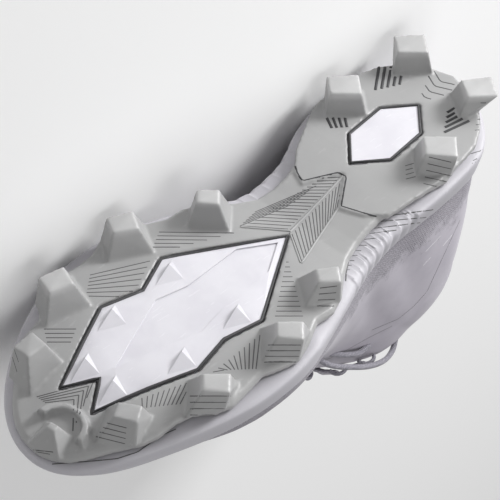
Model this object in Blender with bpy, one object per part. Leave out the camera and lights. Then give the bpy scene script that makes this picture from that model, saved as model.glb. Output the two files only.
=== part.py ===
"""American football cleat, a right shoe, lying on its inner side.

The shoe is modelled in its own frame first: X towards the outer side of the
foot, Y from the heel to the toe, Z up, with the sole plate's underside at
zero under heel and ball.  At the end the whole shoe is turned onto the face
of its convex hull that it rests on when it lies on its inner side.
"""
import math

import bmesh
import bpy
from mathutils import Matrix, Vector

# Overall sizes, in metres
SOLE_LENGTH = 0.282
BALL_WIDTH = 0.107
HEEL_WIDTH = 0.077
INSTEP_HEIGHT = 0.088
TOE_BOX_HEIGHT = 0.037
COLLAR_BACK_HEIGHT = 0.098
COLLAR_FRONT_HEIGHT = 0.113
ANKLE_ROOF = 0.250
TOE_SPRING = 0.009
TOE_LEAN = 0.027
SWELL = 0.0022
SWELL_HEIGHT = 0.028
ARCH_RISE = 0.0035

# Sole plate and studs
PLATE_THICKNESS = 0.004
PLATE_CHAMFER = 0.0015
PLATE_MARGIN = 0.0022
PLATE_SCALLOP = 0.0065
STUD_HEIGHT = 0.012
HEEL_STUD_HEIGHT = 0.013
STUD_TIP = 0.0095
STUD_BASE = 0.0215
STUD_LOBE = 0.015
STUD_ROOT = 0.0015
STUD_INSET = 0.0015
TIP_CREASE = 0.0008
STEP_DEPTH = 0.0010
HEEL_PLATE_INSET = 0.0030
TOE_ARCH_RADIUS = 0.0105
TOE_ARCH_BAND = 0.0040
TOE_ARCH_HEIGHT = 0.0050

# Inserts let into the plate
INSERT_THICKNESS = 0.0022
INSERT_GROOVE = 0.0011
INSERT_FLOOR_GAP = 0.0003
INSERT_SINK = 0.0002
RECESS_DEPTH = 0.0007
POCKET_REACH = 0.004
FACET_HEIGHT = 0.0030
FACET_LENGTH = 0.0115
FACET_WIDTH = 0.0085
FACET_TAIL = 0.0045
HEEL_BADGE_LENGTH = 0.050
HEEL_BADGE_WIDTH = 0.023
HEEL_BADGE_STATION = 0.197

# Midsole, rand and insole
MIDSOLE_FLOOR = 0.003
RAND_WALL = 0.0030
RAND_LIP = 0.0014
RAND_HEIGHT = 0.0115
RIB_DEPTH = 0.0009
RIB_COUNT = 8
INSOLE_THICKNESS = 0.0035

# Upper, tongue and laces
UPPER_WALL = 0.0022
OVERLAY_STEP = 0.0007
TONGUE_THICKNESS = 0.0040
TONGUE_WIDTH = 0.043
LACE_WIDTH = 0.0062
LACE_THICKNESS = 0.0024
LACE_CLEAR = 0.0026
LACE_STAND = 0.0017
LOOP_SPAN = 0.0110
LOOP_HEIGHT = 0.0046
LOOP_TUBE = 0.0012

# Fit between mating pieces
CLEARANCE = 0.0003
RAND_GAP = 0.0009
SEAT_GAP = 0.0006
TONGUE_GAP = 0.0014

UPPER_OFFSET = RAND_WALL + RAND_GAP
LINING_OFFSET = UPPER_OFFSET + UPPER_WALL
MIDSOLE_BASE = PLATE_THICKNESS + CLEARANCE
UPPER_BASE = MIDSOLE_BASE + MIDSOLE_FLOOR + SEAT_GAP

# Plan outline of the sole: station as a share of the sole length, half
# widths as shares of the local width
OUTLINE = (
    {"station": 0.000, "outer": 0.000, "inner": 0.000},
    {"station": 0.035, "outer": 0.300, "inner": 0.310},
    {"station": 0.120, "outer": 0.485, "inner": 0.465},
    {"station": 0.210, "outer": 0.500, "inner": 0.485},
    {"station": 0.280, "outer": 0.492, "inner": 0.430},
    {"station": 0.350, "outer": 0.455, "inner": 0.325},
    {"station": 0.420, "outer": 0.428, "inner": 0.293},
    {"station": 0.490, "outer": 0.438, "inner": 0.335},
    {"station": 0.560, "outer": 0.470, "inner": 0.402},
    {"station": 0.630, "outer": 0.500, "inner": 0.472},
    {"station": 0.700, "outer": 0.496, "inner": 0.505},
    {"station": 0.750, "outer": 0.472, "inner": 0.500},
    {"station": 0.820, "outer": 0.411, "inner": 0.452},
    {"station": 0.875, "outer": 0.346, "inner": 0.396},
    {"station": 0.925, "outer": 0.277, "inner": 0.318},
    {"station": 0.965, "outer": 0.197, "inner": 0.226},
    {"station": 0.988, "outer": 0.118, "inner": 0.136},
    {"station": 1.000, "outer": 0.000, "inner": 0.000},
)

# Sections of the upper: crest and rim heights as shares of the named height
# in "of", body widths as additions to the outline in shares of BALL_WIDTH,
# and the squareness of the flank
SECTIONS = (
    {"station": 0.00, "crest": 1.00, "of": ANKLE_ROOF, "rim": 1.00, "rim_of": COLLAR_BACK_HEIGHT,
     "outer": 0.000, "inner": 0.000, "square": 3.0, "shift": 0.000},
    {"station": 0.08, "crest": 1.00, "of": ANKLE_ROOF, "rim": 0.99, "rim_of": COLLAR_BACK_HEIGHT,
     "outer": -0.020, "inner": -0.012, "square": 3.0, "shift": 0.000},
    {"station": 0.19, "crest": 0.92, "of": ANKLE_ROOF, "rim": 0.93, "rim_of": COLLAR_FRONT_HEIGHT,
     "outer": -0.028, "inner": -0.022, "square": 2.9, "shift": 0.000},
    {"station": 0.26, "crest": 0.76, "of": ANKLE_ROOF, "rim": 0.99, "rim_of": COLLAR_FRONT_HEIGHT,
     "outer": -0.030, "inner": 0.006, "square": 2.8, "shift": -0.002},
    {"station": 0.31, "crest": 1.62, "of": INSTEP_HEIGHT, "rim": 0.985, "rim_of": COLLAR_FRONT_HEIGHT,
     "outer": -0.026, "inner": 0.040, "square": 2.7, "shift": -0.006},
    {"station": 0.36, "crest": 1.36, "of": INSTEP_HEIGHT, "rim": 1.265, "rim_of": INSTEP_HEIGHT,
     "outer": -0.018, "inner": 0.078, "square": 2.5, "shift": -0.011},
    {"station": 0.42, "crest": 1.165, "of": INSTEP_HEIGHT, "rim": 1.132, "rim_of": INSTEP_HEIGHT,
     "outer": -0.008, "inner": 0.094, "square": 2.4, "shift": -0.016},
    {"station": 0.48, "crest": 1.00, "of": INSTEP_HEIGHT, "rim": 0.976, "rim_of": INSTEP_HEIGHT,
     "outer": -0.002, "inner": 0.072, "square": 2.3, "shift": -0.020},
    {"station": 0.56, "crest": 0.845, "of": INSTEP_HEIGHT, "rim": 0.829, "rim_of": INSTEP_HEIGHT,
     "outer": 0.006, "inner": 0.030, "square": 2.3, "shift": -0.024},
    {"station": 0.61, "crest": 0.760, "of": INSTEP_HEIGHT, "rim": 0.752, "rim_of": INSTEP_HEIGHT,
     "outer": 0.008, "inner": 0.010, "square": 2.3, "shift": -0.026},
    {"station": 0.70, "crest": 1.62, "of": TOE_BOX_HEIGHT, "rim": 1.62, "rim_of": TOE_BOX_HEIGHT,
     "outer": 0.006, "inner": 0.006, "square": 2.3, "shift": -0.030},
    {"station": 0.80, "crest": 1.31, "of": TOE_BOX_HEIGHT, "rim": 1.31, "rim_of": TOE_BOX_HEIGHT,
     "outer": 0.002, "inner": 0.002, "square": 2.3, "shift": -0.034},
    {"station": 0.88, "crest": 1.12, "of": TOE_BOX_HEIGHT, "rim": 1.12, "rim_of": TOE_BOX_HEIGHT,
     "outer": 0.000, "inner": 0.000, "square": 2.2, "shift": -0.034},
    {"station": 0.95, "crest": 1.00, "of": TOE_BOX_HEIGHT, "rim": 1.00, "rim_of": TOE_BOX_HEIGHT,
     "outer": 0.000, "inner": 0.000, "square": 2.2, "shift": -0.020},
    {"station": 1.00, "crest": 0.80, "of": TOE_BOX_HEIGHT, "rim": 0.80, "rim_of": TOE_BOX_HEIGHT,
     "outer": 0.000, "inner": 0.000, "square": 2.2, "shift": 0.000},
)
THROAT_STATION = 0.62

# Rise of the sole and height of the rand along the shoe, as shares of the
# toe spring, the arch rise and the rand height
PROFILE = (
    {"station": 0.00, "spring": 0.00, "arch": 0.00, "outer_rand": 1.15, "inner_rand": 1.15},
    {"station": 0.14, "spring": 0.00, "arch": 0.00, "outer_rand": 1.10, "inner_rand": 1.10},
    {"station": 0.26, "spring": 0.00, "arch": 0.00, "outer_rand": 0.95, "inner_rand": 1.20},
    {"station": 0.36, "spring": 0.00, "arch": 0.45, "outer_rand": 0.85, "inner_rand": 1.45},
    {"station": 0.43, "spring": 0.00, "arch": 1.00, "outer_rand": 0.75, "inner_rand": 1.25},
    {"station": 0.51, "spring": 0.00, "arch": 0.45, "outer_rand": 0.55, "inner_rand": 0.90},
    {"station": 0.60, "spring": 0.00, "arch": 0.00, "outer_rand": 0.80, "inner_rand": 0.85},
    {"station": 0.72, "spring": 0.00, "arch": 0.00, "outer_rand": 0.65, "inner_rand": 0.80},
    {"station": 0.80, "spring": 0.04, "arch": 0.00, "outer_rand": 0.80, "inner_rand": 0.85},
    {"station": 0.90, "spring": 0.38, "arch": 0.00, "outer_rand": 0.80, "inner_rand": 0.80},
    {"station": 1.00, "spring": 1.00, "arch": 0.00, "outer_rand": 0.75, "inner_rand": 0.75},
)

# Free end of the tongue: height of its middle and drop of its edges, as
# shares of INSTEP_HEIGHT
TONGUE_END = (
    {"station": 0.255, "height": 1.52, "drop": 0.15},
    {"station": 0.310, "height": 1.385, "drop": 0.19},
    {"station": 0.360, "height": 1.260, "drop": 0.25},
    {"station": 0.420, "height": 1.080, "drop": 0.33},
)

# Lace loops: station of each row, and where across the wall it sits between
# the sole and the rim
LOOP_ROWS = (
    {"station": 0.560, "share": 0.945},
    {"station": 0.500, "share": 0.945},
    {"station": 0.445, "share": 0.945},
    {"station": 0.392, "share": 0.945},
    {"station": 0.342, "share": 0.945},
    {"station": 0.295, "share": 0.945},
)

# Lean of the heel counter and of the toe cap with height above the upper's
# base, as shares of the collar height and of the sole length
HEEL_LEAN = (
    {"station": 0.00, "shift": 0.000},
    {"station": 0.22, "shift": -0.014},
    {"station": 0.50, "shift": -0.004},
    {"station": 0.80, "shift": 0.016},
    {"station": 1.00, "shift": 0.010},
)

# Studs: tip centre as shares of the sole length and of the half width on its
# side, tip and foot as shares of the named sizes, and the turn in degrees
STUDS = (
    {"name": "inner_heel_back", "along": 0.038, "across": -0.84,
     "tip": 1.36, "foot": 0.92, "height": 1.00, "turn": 44},
    {"name": "outer_heel_back", "along": 0.044, "across": 0.76,
     "tip": 1.36, "foot": 0.92, "height": 1.00, "turn": 40},
    {"name": "inner_heel_front", "along": 0.191, "across": -0.70,
     "tip": 1.36, "foot": 0.92, "height": 1.00, "turn": 44},
    {"name": "outer_heel_front", "along": 0.195, "across": 0.74,
     "tip": 1.36, "foot": 0.92, "height": 1.00, "turn": 50},
    {"name": "inner_waist", "along": 0.521, "across": -0.70,
     "tip": 0.90, "foot": 0.90, "height": 1.00, "turn": 50},
    {"name": "outer_waist", "along": 0.518, "across": 0.80,
     "tip": 0.90, "foot": 0.96, "height": 1.00, "turn": 42},
    {"name": "inner_ball", "along": 0.649, "across": -0.82,
     "tip": 1.06, "foot": 1.04, "height": 1.00, "turn": 31},
    {"name": "outer_ball", "along": 0.638, "across": 0.84,
     "tip": 1.00, "foot": 1.00, "height": 1.00, "turn": 50},
    {"name": "inner_forefoot", "along": 0.796, "across": -0.81,
     "tip": 1.06, "foot": 1.04, "height": 1.00, "turn": 19},
    {"name": "outer_forefoot", "along": 0.780, "across": 0.84,
     "tip": 1.00, "foot": 1.00, "height": 1.00, "turn": 50},
    {"name": "inner_toe", "along": 0.901, "across": -0.70,
     "tip": 0.94, "foot": 0.96, "height": 0.90, "turn": 2},
    {"name": "outer_toe", "along": 0.894, "across": 0.68,
     "tip": 0.90, "foot": 0.92, "height": 0.90, "turn": 62},
)
TOE_STUD = {"along": 0.968, "across": 0.06, "height": 0.72}

# Forefoot insert, a long lozenge stepped at both flanks with a notch at the
# toe end: corners as shares of the sole length and of BALL_WIDTH
LOZENGE = (
    {"along": 0.901, "across": -0.093},
    {"along": 0.764, "across": -0.229},
    {"along": 0.699, "across": -0.168},
    {"along": 0.635, "across": -0.224},
    {"along": 0.465, "across": 0.047},
    {"along": 0.624, "across": 0.260},
    {"along": 0.688, "across": 0.214},
    {"along": 0.755, "across": 0.236},
    {"along": 0.902, "across": 0.070},
    {"along": 0.856, "across": -0.009},
)

# Recess in the middle of the lozenge, in the same shares
RECESS = (
    {"along": 0.830, "across": 0.002},
    {"along": 0.700, "across": -0.102},
    {"along": 0.647, "across": -0.059},
    {"along": 0.541, "across": -0.048},
    {"along": 0.485, "across": 0.043},
    {"along": 0.541, "across": 0.118},
    {"along": 0.643, "across": 0.114},
    {"along": 0.699, "across": 0.129},
)

# Pyramids raised on the lozenge: places of their peaks, in the same shares
FACETS = (
    {"along": 0.642, "across": -0.168},
    {"along": 0.762, "across": -0.178},
    {"along": 0.851, "across": -0.098},
    {"along": 0.853, "across": 0.047},
    {"along": 0.752, "across": 0.150},
    {"along": 0.637, "across": 0.162},
)

# Stations where flat pieces fold to follow the rise of the plate
INSERT_FOLDS = (0.780, 0.825, 0.865)
HEEL_FOLDS = (0.270, 0.300, 0.330)

# Front edge of the raised heel plate, from the inner to the outer side
HEEL_PLATE_EDGE = (
    {"along": 0.255, "across": -0.600},
    {"along": 0.321, "across": -0.300},
    {"along": 0.357, "across": -0.205},
    {"along": 0.369, "across": -0.110},
    {"along": 0.308, "across": 0.015},
    {"along": 0.370, "across": 0.160},
    {"along": 0.355, "across": 0.300},
    {"along": 0.330, "across": 0.400},
    {"along": 0.260, "across": 0.600},
)

GREY = (0.47, 0.47, 0.47)
RAND_GREY = (0.62, 0.61, 0.64)
WHITE = (0.86, 0.85, 0.89)
KNIT_GREY = (0.50, 0.48, 0.54)
LACE_GREY = (0.45, 0.44, 0.48)
LINING_GREY = (0.32, 0.31, 0.34)


def clear_scene():
    """Remove every object that the file opened with."""
    for item in list(bpy.data.objects):
        bpy.data.objects.remove(item, do_unlink=True)


def material(name, colour, roughness):
    """Make a plain material of one colour."""
    made = bpy.data.materials.new(name)
    made.use_nodes = True
    shader = made.node_tree.nodes["Principled BSDF"]
    shader.inputs["Base Color"].default_value = (*colour, 1.0)
    shader.inputs["Roughness"].default_value = roughness
    shader.inputs["Metallic"].default_value = 0.0
    return made


def girth_angle(station):
    """Angle of a station, so that round ends keep their shape."""
    return math.acos(max(-1.0, min(1.0, 1.0 - 2.0 * station)))


def slopes(xs, ys):
    """Slopes of a smooth curve through the points that never overshoots."""
    steps = [(ys[i + 1] - ys[i]) / (xs[i + 1] - xs[i]) for i in range(len(xs) - 1)]
    found = [steps[0]]
    for before, after in zip(steps, steps[1:]):
        if before * after <= 0.0:
            found.append(0.0)
        else:
            found.append(2.0 * before * after / (before + after))
    found.append(steps[-1])
    return found


def read_table(rows, column, station, scale=None, angular=True):
    """Smooth value of a table's column at a station."""
    place = girth_angle if angular else (lambda share: share)
    xs = [place(row["station"]) for row in rows]
    ys = [row[column] * (row[scale] if scale else 1.0) for row in rows]
    x = min(max(place(station), xs[0]), xs[-1])
    rates = slopes(xs, ys)
    index = 0
    while index < len(xs) - 2 and x > xs[index + 1]:
        index += 1
    width = xs[index + 1] - xs[index]
    t = (x - xs[index]) / width
    return ((2 * t**3 - 3 * t**2 + 1) * ys[index]
            + (t**3 - 2 * t**2 + t) * width * rates[index]
            + (3 * t**2 - 2 * t**3) * ys[index + 1]
            + (t**3 - t**2) * width * rates[index + 1])


def smooth_step(value):
    """Ease from zero to one."""
    value = min(max(value, 0.0), 1.0)
    return value * value * (3.0 - 2.0 * value)


def side_name(side):
    """Column of a table for one side of the shoe."""
    return "outer" if side > 0 else "inner"


def local_width(station):
    """Width that the outline's shares refer to, heel behind and ball ahead."""
    return HEEL_WIDTH + (BALL_WIDTH - HEEL_WIDTH) * smooth_step((station - 0.28) / 0.28)


def half_width(station, side):
    """Half width of the sole's outline on one side."""
    return read_table(OUTLINE, side_name(side), station) * local_width(station)


def rise(station):
    """Height of the sole plate's underside above the ground plane of the plate."""
    spring = read_table(PROFILE, "spring", station, angular=False)
    arch = read_table(PROFILE, "arch", station, angular=False)
    return TOE_SPRING * spring + ARCH_RISE * arch


def level_rise(station, offset):
    """Rise of the sole where an outline moved inwards has its station."""
    return rise(offset / SOLE_LENGTH + (1.0 - 2.0 * offset / SOLE_LENGTH) * station)


def end_share(station):
    """One along the flanks, falling to zero at the heel and the toe."""
    turn = math.sin(girth_angle(station))
    return 1.0 - (1.0 - turn) ** 3


def plan_point(station, side, offset, share=1.0):
    """Point of the outline moved inwards, at a share of its half width."""
    width = half_width(station, side) - offset * end_share(station)
    return side * width * share, offset + (SOLE_LENGTH - 2.0 * offset) * station


def crest_height(station):
    """Height at which the section's roof would close."""
    return read_table(SECTIONS, "crest", station, "of") + 0.4 * TOE_SPRING * smooth_step((station - 0.8) / 0.2)


def rim_height(station):
    """Height of the collar and throat line, or of the closed vamp."""
    if station >= THROAT_STATION:
        return crest_height(station)
    return min(read_table(SECTIONS, "rim", station, "rim_of"), crest_height(station) - 0.0004)


def form_point(station, side, height, offset):
    """Point of the last's surface at a height, moved inwards by an offset."""
    base = UPPER_BASE + level_rise(station, offset)
    roof = crest_height(station) - (offset - UPPER_OFFSET)
    lift = min(max((height - base) / (roof - base), 0.0), 1.0)
    square = read_table(SECTIONS, "square", station)
    body = read_table(SECTIONS, side_name(side), station) * BALL_WIDTH
    above = min(max((height - base) / SWELL_HEIGHT, 0.0), 1.0)
    swell = above * (2.0 - above)
    width = half_width(station, side) - offset * end_share(station)
    width += (body + SWELL * end_share(station)) * swell * end_share(station)
    reach = max(1.0 - lift * lift, 0.0) ** (1.0 / square)
    shift = read_table(SECTIONS, "shift", station) * BALL_WIDTH * lift * lift
    x = side * width * reach + shift
    y = offset + (SOLE_LENGTH - 2.0 * offset) * station
    up = max(height - base, 0.0)
    lean = read_table(HEEL_LEAN, "shift", min(up / COLLAR_BACK_HEIGHT, 1.0), angular=False)
    y += lean * SOLE_LENGTH * (1.0 - station) ** 3
    y -= TOE_LEAN * min(up / TOE_BOX_HEIGHT, 1.0) * station ** 9
    return Vector((x, y, height))


def upper_point(station, side, share, offset):
    """Point of the upper's wall at a share of the way from sole to rim."""
    base = UPPER_BASE + level_rise(station, offset)
    crest = crest_height(station)
    rim = rim_height(station)
    top_angle = math.asin(min((rim - base) / (crest - base), 1.0))
    inner_roof = crest - (offset - UPPER_OFFSET)
    lift = math.sin(top_angle * share)
    return form_point(station, side, base + (inner_roof - base) * lift, offset)


def cosine_stations(count):
    """Stations crowded towards the heel and the toe."""
    return [0.5 - 0.5 * math.cos(math.pi * i / count) for i in range(count + 1)]


def ring_stations(stations):
    """Round the shoe from toe to heel on the outer side and back inside."""
    outer = [(station, 1) for station in reversed(stations)]
    inner = [(station, -1) for station in stations[1:-1]]
    return outer + inner


def finish(name, mesh_data, look, smooth=35.0):
    """Turn a bmesh into an object with its own material."""
    bmesh.ops.remove_doubles(mesh_data, verts=mesh_data.verts, dist=0.00001)
    bmesh.ops.dissolve_degenerate(mesh_data, edges=mesh_data.edges, dist=0.000001)
    bmesh.ops.recalc_face_normals(mesh_data, faces=mesh_data.faces)
    mesh = bpy.data.meshes.new(name)
    mesh_data.to_mesh(mesh)
    mesh_data.free()
    mesh.shade_smooth()
    mesh.set_sharp_from_angle(angle=math.radians(smooth))
    made = bpy.data.objects.new(name, mesh)
    bpy.context.collection.objects.link(made)
    mesh.materials.append(look)
    return made


def add_grid(mesh_data, rows, close_columns=False, reverse=False, skip=None):
    """Join rows of points by quads and return the grid of vertices."""
    grid = [[mesh_data.verts.new(point) for point in row] for row in rows]
    count = len(rows[0])
    for r in range(len(rows) - 1):
        for c in range(count if close_columns else count - 1):
            if skip and skip(r, c):
                continue
            n = (c + 1) % count
            face = [grid[r][c], grid[r][n], grid[r + 1][n], grid[r + 1][c]]
            if reverse:
                face.reverse()
            mesh_data.faces.new(face)
    return grid


def join_rings(mesh_data, first, second, skip=None):
    """Join two closed rings of vertices by quads."""
    count = len(first)
    for c in range(count):
        if skip and skip(c):
            continue
        n = (c + 1) % count
        mesh_data.faces.new([first[c], first[n], second[n], second[c]])


def hull(mesh_data, points):
    """Convex hull of the points, as new faces."""
    verts = [mesh_data.verts.new(point) for point in points]
    made = bmesh.ops.convex_hull(mesh_data, input=verts)
    spare = [item for item in made["geom_interior"] if isinstance(item, bmesh.types.BMVert)]
    bmesh.ops.delete(mesh_data, geom=spare, context="VERTS")


def prism(points, low, high):
    """Upright solid over a plan outline."""
    solid = bmesh.new()
    lower = [solid.verts.new((x, y, low)) for x, y in points]
    upper = [solid.verts.new((x, y, high)) for x, y in points]
    solid.faces.new(list(reversed(lower)))
    solid.faces.new(upper)
    join_rings(solid, lower, upper)
    bmesh.ops.recalc_face_normals(solid, faces=solid.faces)
    return solid


def combine(target, tool_mesh, operation):
    """Apply one exact Boolean of a bmesh to an object's mesh."""
    mesh = bpy.data.meshes.new("tool")
    tool_mesh.to_mesh(mesh)
    tool_mesh.free()
    tool = bpy.data.objects.new("tool", mesh)
    bpy.context.collection.objects.link(tool)
    change = target.modifiers.new("change", "BOOLEAN")
    change.operation = operation
    change.solver = "EXACT"
    change.object = tool
    bpy.context.view_layer.update()
    seen = target.evaluated_get(bpy.context.evaluated_depsgraph_get())
    result = bpy.data.meshes.new_from_object(seen)
    target.modifiers.remove(change)
    old = target.data
    target.data = result
    result.name = target.name
    bpy.data.meshes.remove(old)
    bpy.data.objects.remove(tool, do_unlink=True)
    bpy.data.meshes.remove(mesh)


def stud_place(stud):
    """Centre of a stud's tip in the plan."""
    side = 1 if stud["across"] >= 0.0 else -1
    width = half_width(stud["along"], side)
    return abs(stud["across"]) * width * side, stud["along"] * SOLE_LENGTH


def plate_margin(station, side):
    """Step of the plate's edge behind the rand, small beside each stud."""
    nearest = 0.0
    for stud in STUDS:
        if (stud["across"] > 0.0) == (side > 0):
            reach = (station - stud["along"]) * SOLE_LENGTH / STUD_LOBE
            nearest = max(nearest, math.exp(-reach * reach))
    ends = smooth_step(station / 0.10) * smooth_step((1.0 - station) / 0.14)
    return PLATE_MARGIN + PLATE_SCALLOP * (1.0 - nearest) * ends


def build_outsole(look):
    """Sole plate with its arch, toe spring, heel step and studs."""
    plate = bmesh.new()
    stations = cosine_stations(44)
    spans = (-1.0, -0.72, -0.36, 0.0, 0.36, 0.72, 1.0)
    rims = []
    sheets = []
    for inset, level in ((0.0, PLATE_THICKNESS), (0.0, PLATE_CHAMFER), (PLATE_CHAMFER, 0.0)):
        ring = []
        for station, side in ring_stations(stations):
            margin = plate_margin(station, side) + inset
            x, y = plan_point(station, side, margin)
            ring.append((x, y, level_rise(station, margin) + level))
        rims.append([plate.verts.new(point) for point in ring])
    join_rings(plate, rims[0], rims[1])
    join_rings(plate, rims[1], rims[2])
    for inset, level in ((0.0, PLATE_THICKNESS), (PLATE_CHAMFER, 0.0)):
        rows = []
        for station in stations:
            row = []
            for span in spans:
                side = 1 if span >= 0.0 else -1
                margin = plate_margin(station, side) + inset
                x, _ = plan_point(station, side, margin, abs(span))
                y_outer = plan_point(station, 1, plate_margin(station, 1) + inset)[1]
                y_inner = plan_point(station, -1, plate_margin(station, -1) + inset)[1]
                blend = 0.5 + 0.5 * span
                y = y_inner + (y_outer - y_inner) * blend
                row.append((x, y, rise(y / SOLE_LENGTH) + level))
            rows.append(row)
        sheets.append(rows)
    for rows in sheets:
        add_grid(plate, rows)
    outsole = finish("outsole", plate, look)

    heel = [plan_point(share * 0.012, side, HEEL_PLATE_INSET) for side, share in heel_turn()]
    front = []
    for row in HEEL_PLATE_EDGE:
        across = row["across"] * HEEL_WIDTH
        limit = half_width(row["along"], 1 if across > 0 else -1) - HEEL_PLATE_INSET - STEP_DEPTH
        across = max(min(across, limit), -limit)
        front.append((across, row["along"] * SOLE_LENGTH))
    step = prism(heel + front, -STEP_DEPTH, PLATE_THICKNESS * 0.5)
    combine(outsole, follow_sole(step, HEEL_FOLDS), "UNION")
    for stud in STUDS:
        tall = HEEL_STUD_HEIGHT if stud["along"] < 0.4 else STUD_HEIGHT
        combine(outsole, stud_solid(stud, tall), "UNION")
    combine(outsole, toe_stud_solid(), "UNION")
    combine(outsole, toe_arch_solid(), "UNION")
    return outsole


def heel_turn():
    """Order of the points round the heel plate, outer front to inner front."""
    outer = [(1, share) for share in range(18, 0, -3)]
    inner = [(-1, share) for share in range(0, 19, 3)]
    return outer + inner


def stud_corners(centre, turn, half_long, half_wide):
    """Four corners of a stud's tip or foot in the plan."""
    corners = []
    c, s = math.cos(math.radians(turn)), math.sin(math.radians(turn))
    for along, across in ((-1, -1), (-1, 1), (1, 1), (1, -1)):
        x = across * half_wide
        y = along * half_long
        corners.append((centre[0] + x * c - y * s, centre[1] + x * s + y * c))
    return corners


def keep_on_plate(x, y):
    """Move a point of a stud's foot back inside the sole's outline."""
    y = min(max(y, 0.012 * SOLE_LENGTH), 0.985 * SOLE_LENGTH)
    side = 1 if x > 0.0 else -1
    limit = half_width(y / SOLE_LENGTH, side) - PLATE_MARGIN
    return side * min(abs(x), limit), y


def stud_solid(stud, tall):
    """Tapered stud with flat flanks and a creased tip."""
    x, y = stud_place(stud)
    side = 1 if x > 0 else -1
    station = stud["along"]
    top = rise(station) + STUD_ROOT
    tip_z = rise(station) * 0.5 - tall * stud["height"]
    half_tip = STUD_TIP * 0.5 * stud["tip"]
    half_foot = STUD_BASE * 0.5 * stud["foot"]
    tip = stud_corners((x, y), stud["turn"], half_tip * 1.12, half_tip * 0.92)
    foot = stud_corners((x - side * STUD_INSET, y), stud["turn"], half_foot, half_foot * 0.88)
    solid = bmesh.new()
    points = [(px, py, tip_z + TIP_CREASE * (index % 2)) for index, (px, py) in enumerate(tip)]
    points += [(*keep_on_plate(px, py), top) for px, py in foot]
    hull(solid, points)
    bmesh.ops.recalc_face_normals(solid, faces=solid.faces)
    return solid


def toe_stud_solid():
    """Low pointed stud at the front of the toe."""
    x = TOE_STUD["across"] * BALL_WIDTH * 0.5
    y = TOE_STUD["along"] * SOLE_LENGTH
    top = rise(TOE_STUD["along"]) + STUD_ROOT
    tip_z = top - STUD_HEIGHT * TOE_STUD["height"] - STUD_ROOT
    tip = stud_corners((x, y), -8.0, STUD_TIP * 0.16, STUD_TIP * 0.20)
    foot = stud_corners((x, y), -8.0, STUD_BASE * 0.28, STUD_BASE * 0.36)
    solid = bmesh.new()
    hull(solid, [(px, py, tip_z) for px, py in tip] + [(px, py, top) for px, py in foot])
    bmesh.ops.recalc_face_normals(solid, faces=solid.faces)
    return solid


def toe_arch_solid():
    """Arched ridge behind the toe stud."""
    x = TOE_STUD["across"] * BALL_WIDTH * 0.5
    y = TOE_STUD["along"] * SOLE_LENGTH - TOE_ARCH_BAND
    top = rise(y / SOLE_LENGTH - 0.5 * TOE_ARCH_RADIUS / SOLE_LENGTH) + STUD_ROOT
    low = top - TOE_ARCH_HEIGHT
    wide = TOE_ARCH_RADIUS + TOE_ARCH_BAND * 0.5
    narrow = TOE_ARCH_RADIUS - TOE_ARCH_BAND * 0.5
    solid = bmesh.new()
    rows = []
    turns = 8
    for index in range(turns + 1):
        turn = math.pi * index / turns
        c, s = math.cos(turn), -math.sin(turn)
        rows.append([
            (x + c * wide * 1.08, y + s * wide * 1.02, top),
            (x + c * wide * 0.92, y + s * wide * 0.86, low),
            (x + c * narrow * 1.02, y + s * narrow * 1.02, low),
            (x + c * narrow, y + s * narrow, top),
        ])
    grid = add_grid(solid, rows, close_columns=True)
    solid.faces.new(list(reversed(grid[0])))
    solid.faces.new(grid[-1])
    bmesh.ops.recalc_face_normals(solid, faces=solid.faces)
    return solid


def lozenge_outline(grow=0.0):
    """Plan outline of the forefoot insert, moved outwards by an amount."""
    points = [Vector((row["across"] * BALL_WIDTH, row["along"] * SOLE_LENGTH)) for row in LOZENGE]
    return offset_outline(points, grow)


def badge_outline(grow=0.0):
    """Plan outline of the heel insert, a plain long hexagon."""
    middle = Vector((0.0, HEEL_BADGE_STATION * SOLE_LENGTH))
    half_long = HEEL_BADGE_LENGTH * 0.5
    half_wide = HEEL_BADGE_WIDTH * 0.5
    corners = ((0.0, -1.0), (1.0, -0.45), (1.0, 0.45), (0.0, 1.0), (-1.0, 0.45), (-1.0, -0.45))
    points = [middle + Vector((cx * half_wide, cy * half_long)) for cx, cy in corners]
    return offset_outline(points, grow)


def offset_outline(points, grow):
    """Move each corner of a closed outline outwards along its bisector."""
    area = sum(a.x * b.y - b.x * a.y for a, b in zip(points, points[1:] + points[:1]))
    sense = 1.0 if area > 0.0 else -1.0
    moved = []
    count = len(points)
    for index, point in enumerate(points):
        before = (point - points[index - 1]).normalized()
        after = (points[(index + 1) % count] - point).normalized()
        first = Vector((before.y, -before.x)) * sense
        second = Vector((after.y, -after.x)) * sense
        middle = (first + second).normalized()
        moved.append(point + middle * (grow / max(middle.dot(first), 0.35)))
    return [(point.x, point.y) for point in moved]


def follow_sole(solid, shares):
    """Bend a flat solid to the rise of the plate, with folds at the shares."""
    for share in shares:
        everything = list(solid.verts) + list(solid.edges) + list(solid.faces)
        bmesh.ops.bisect_plane(
            solid, geom=everything, plane_co=(0.0, share * SOLE_LENGTH, 0.0), plane_no=(0.0, 1.0, 0.0))
    bmesh.ops.triangulate(solid, faces=solid.faces)
    for vertex in solid.verts:
        vertex.co.z += rise(vertex.co.y / SOLE_LENGTH)
    bmesh.ops.recalc_face_normals(solid, faces=solid.faces)
    return solid


def facet_solid(facet):
    """Low pyramid with its steep face towards the toe and the outer side."""
    x = facet["across"] * BALL_WIDTH
    y = facet["along"] * SOLE_LENGTH
    base = INSERT_SINK * 2.0
    solid = bmesh.new()
    hull(solid, [
        (x + FACET_WIDTH * 0.25, y + FACET_LENGTH, base),
        (x + FACET_WIDTH, y, base),
        (x - FACET_TAIL * 0.5, y - FACET_TAIL, base),
        (x, y, INSERT_SINK - FACET_HEIGHT),
    ])
    bmesh.ops.recalc_face_normals(solid, faces=solid.faces)
    return solid


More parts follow.
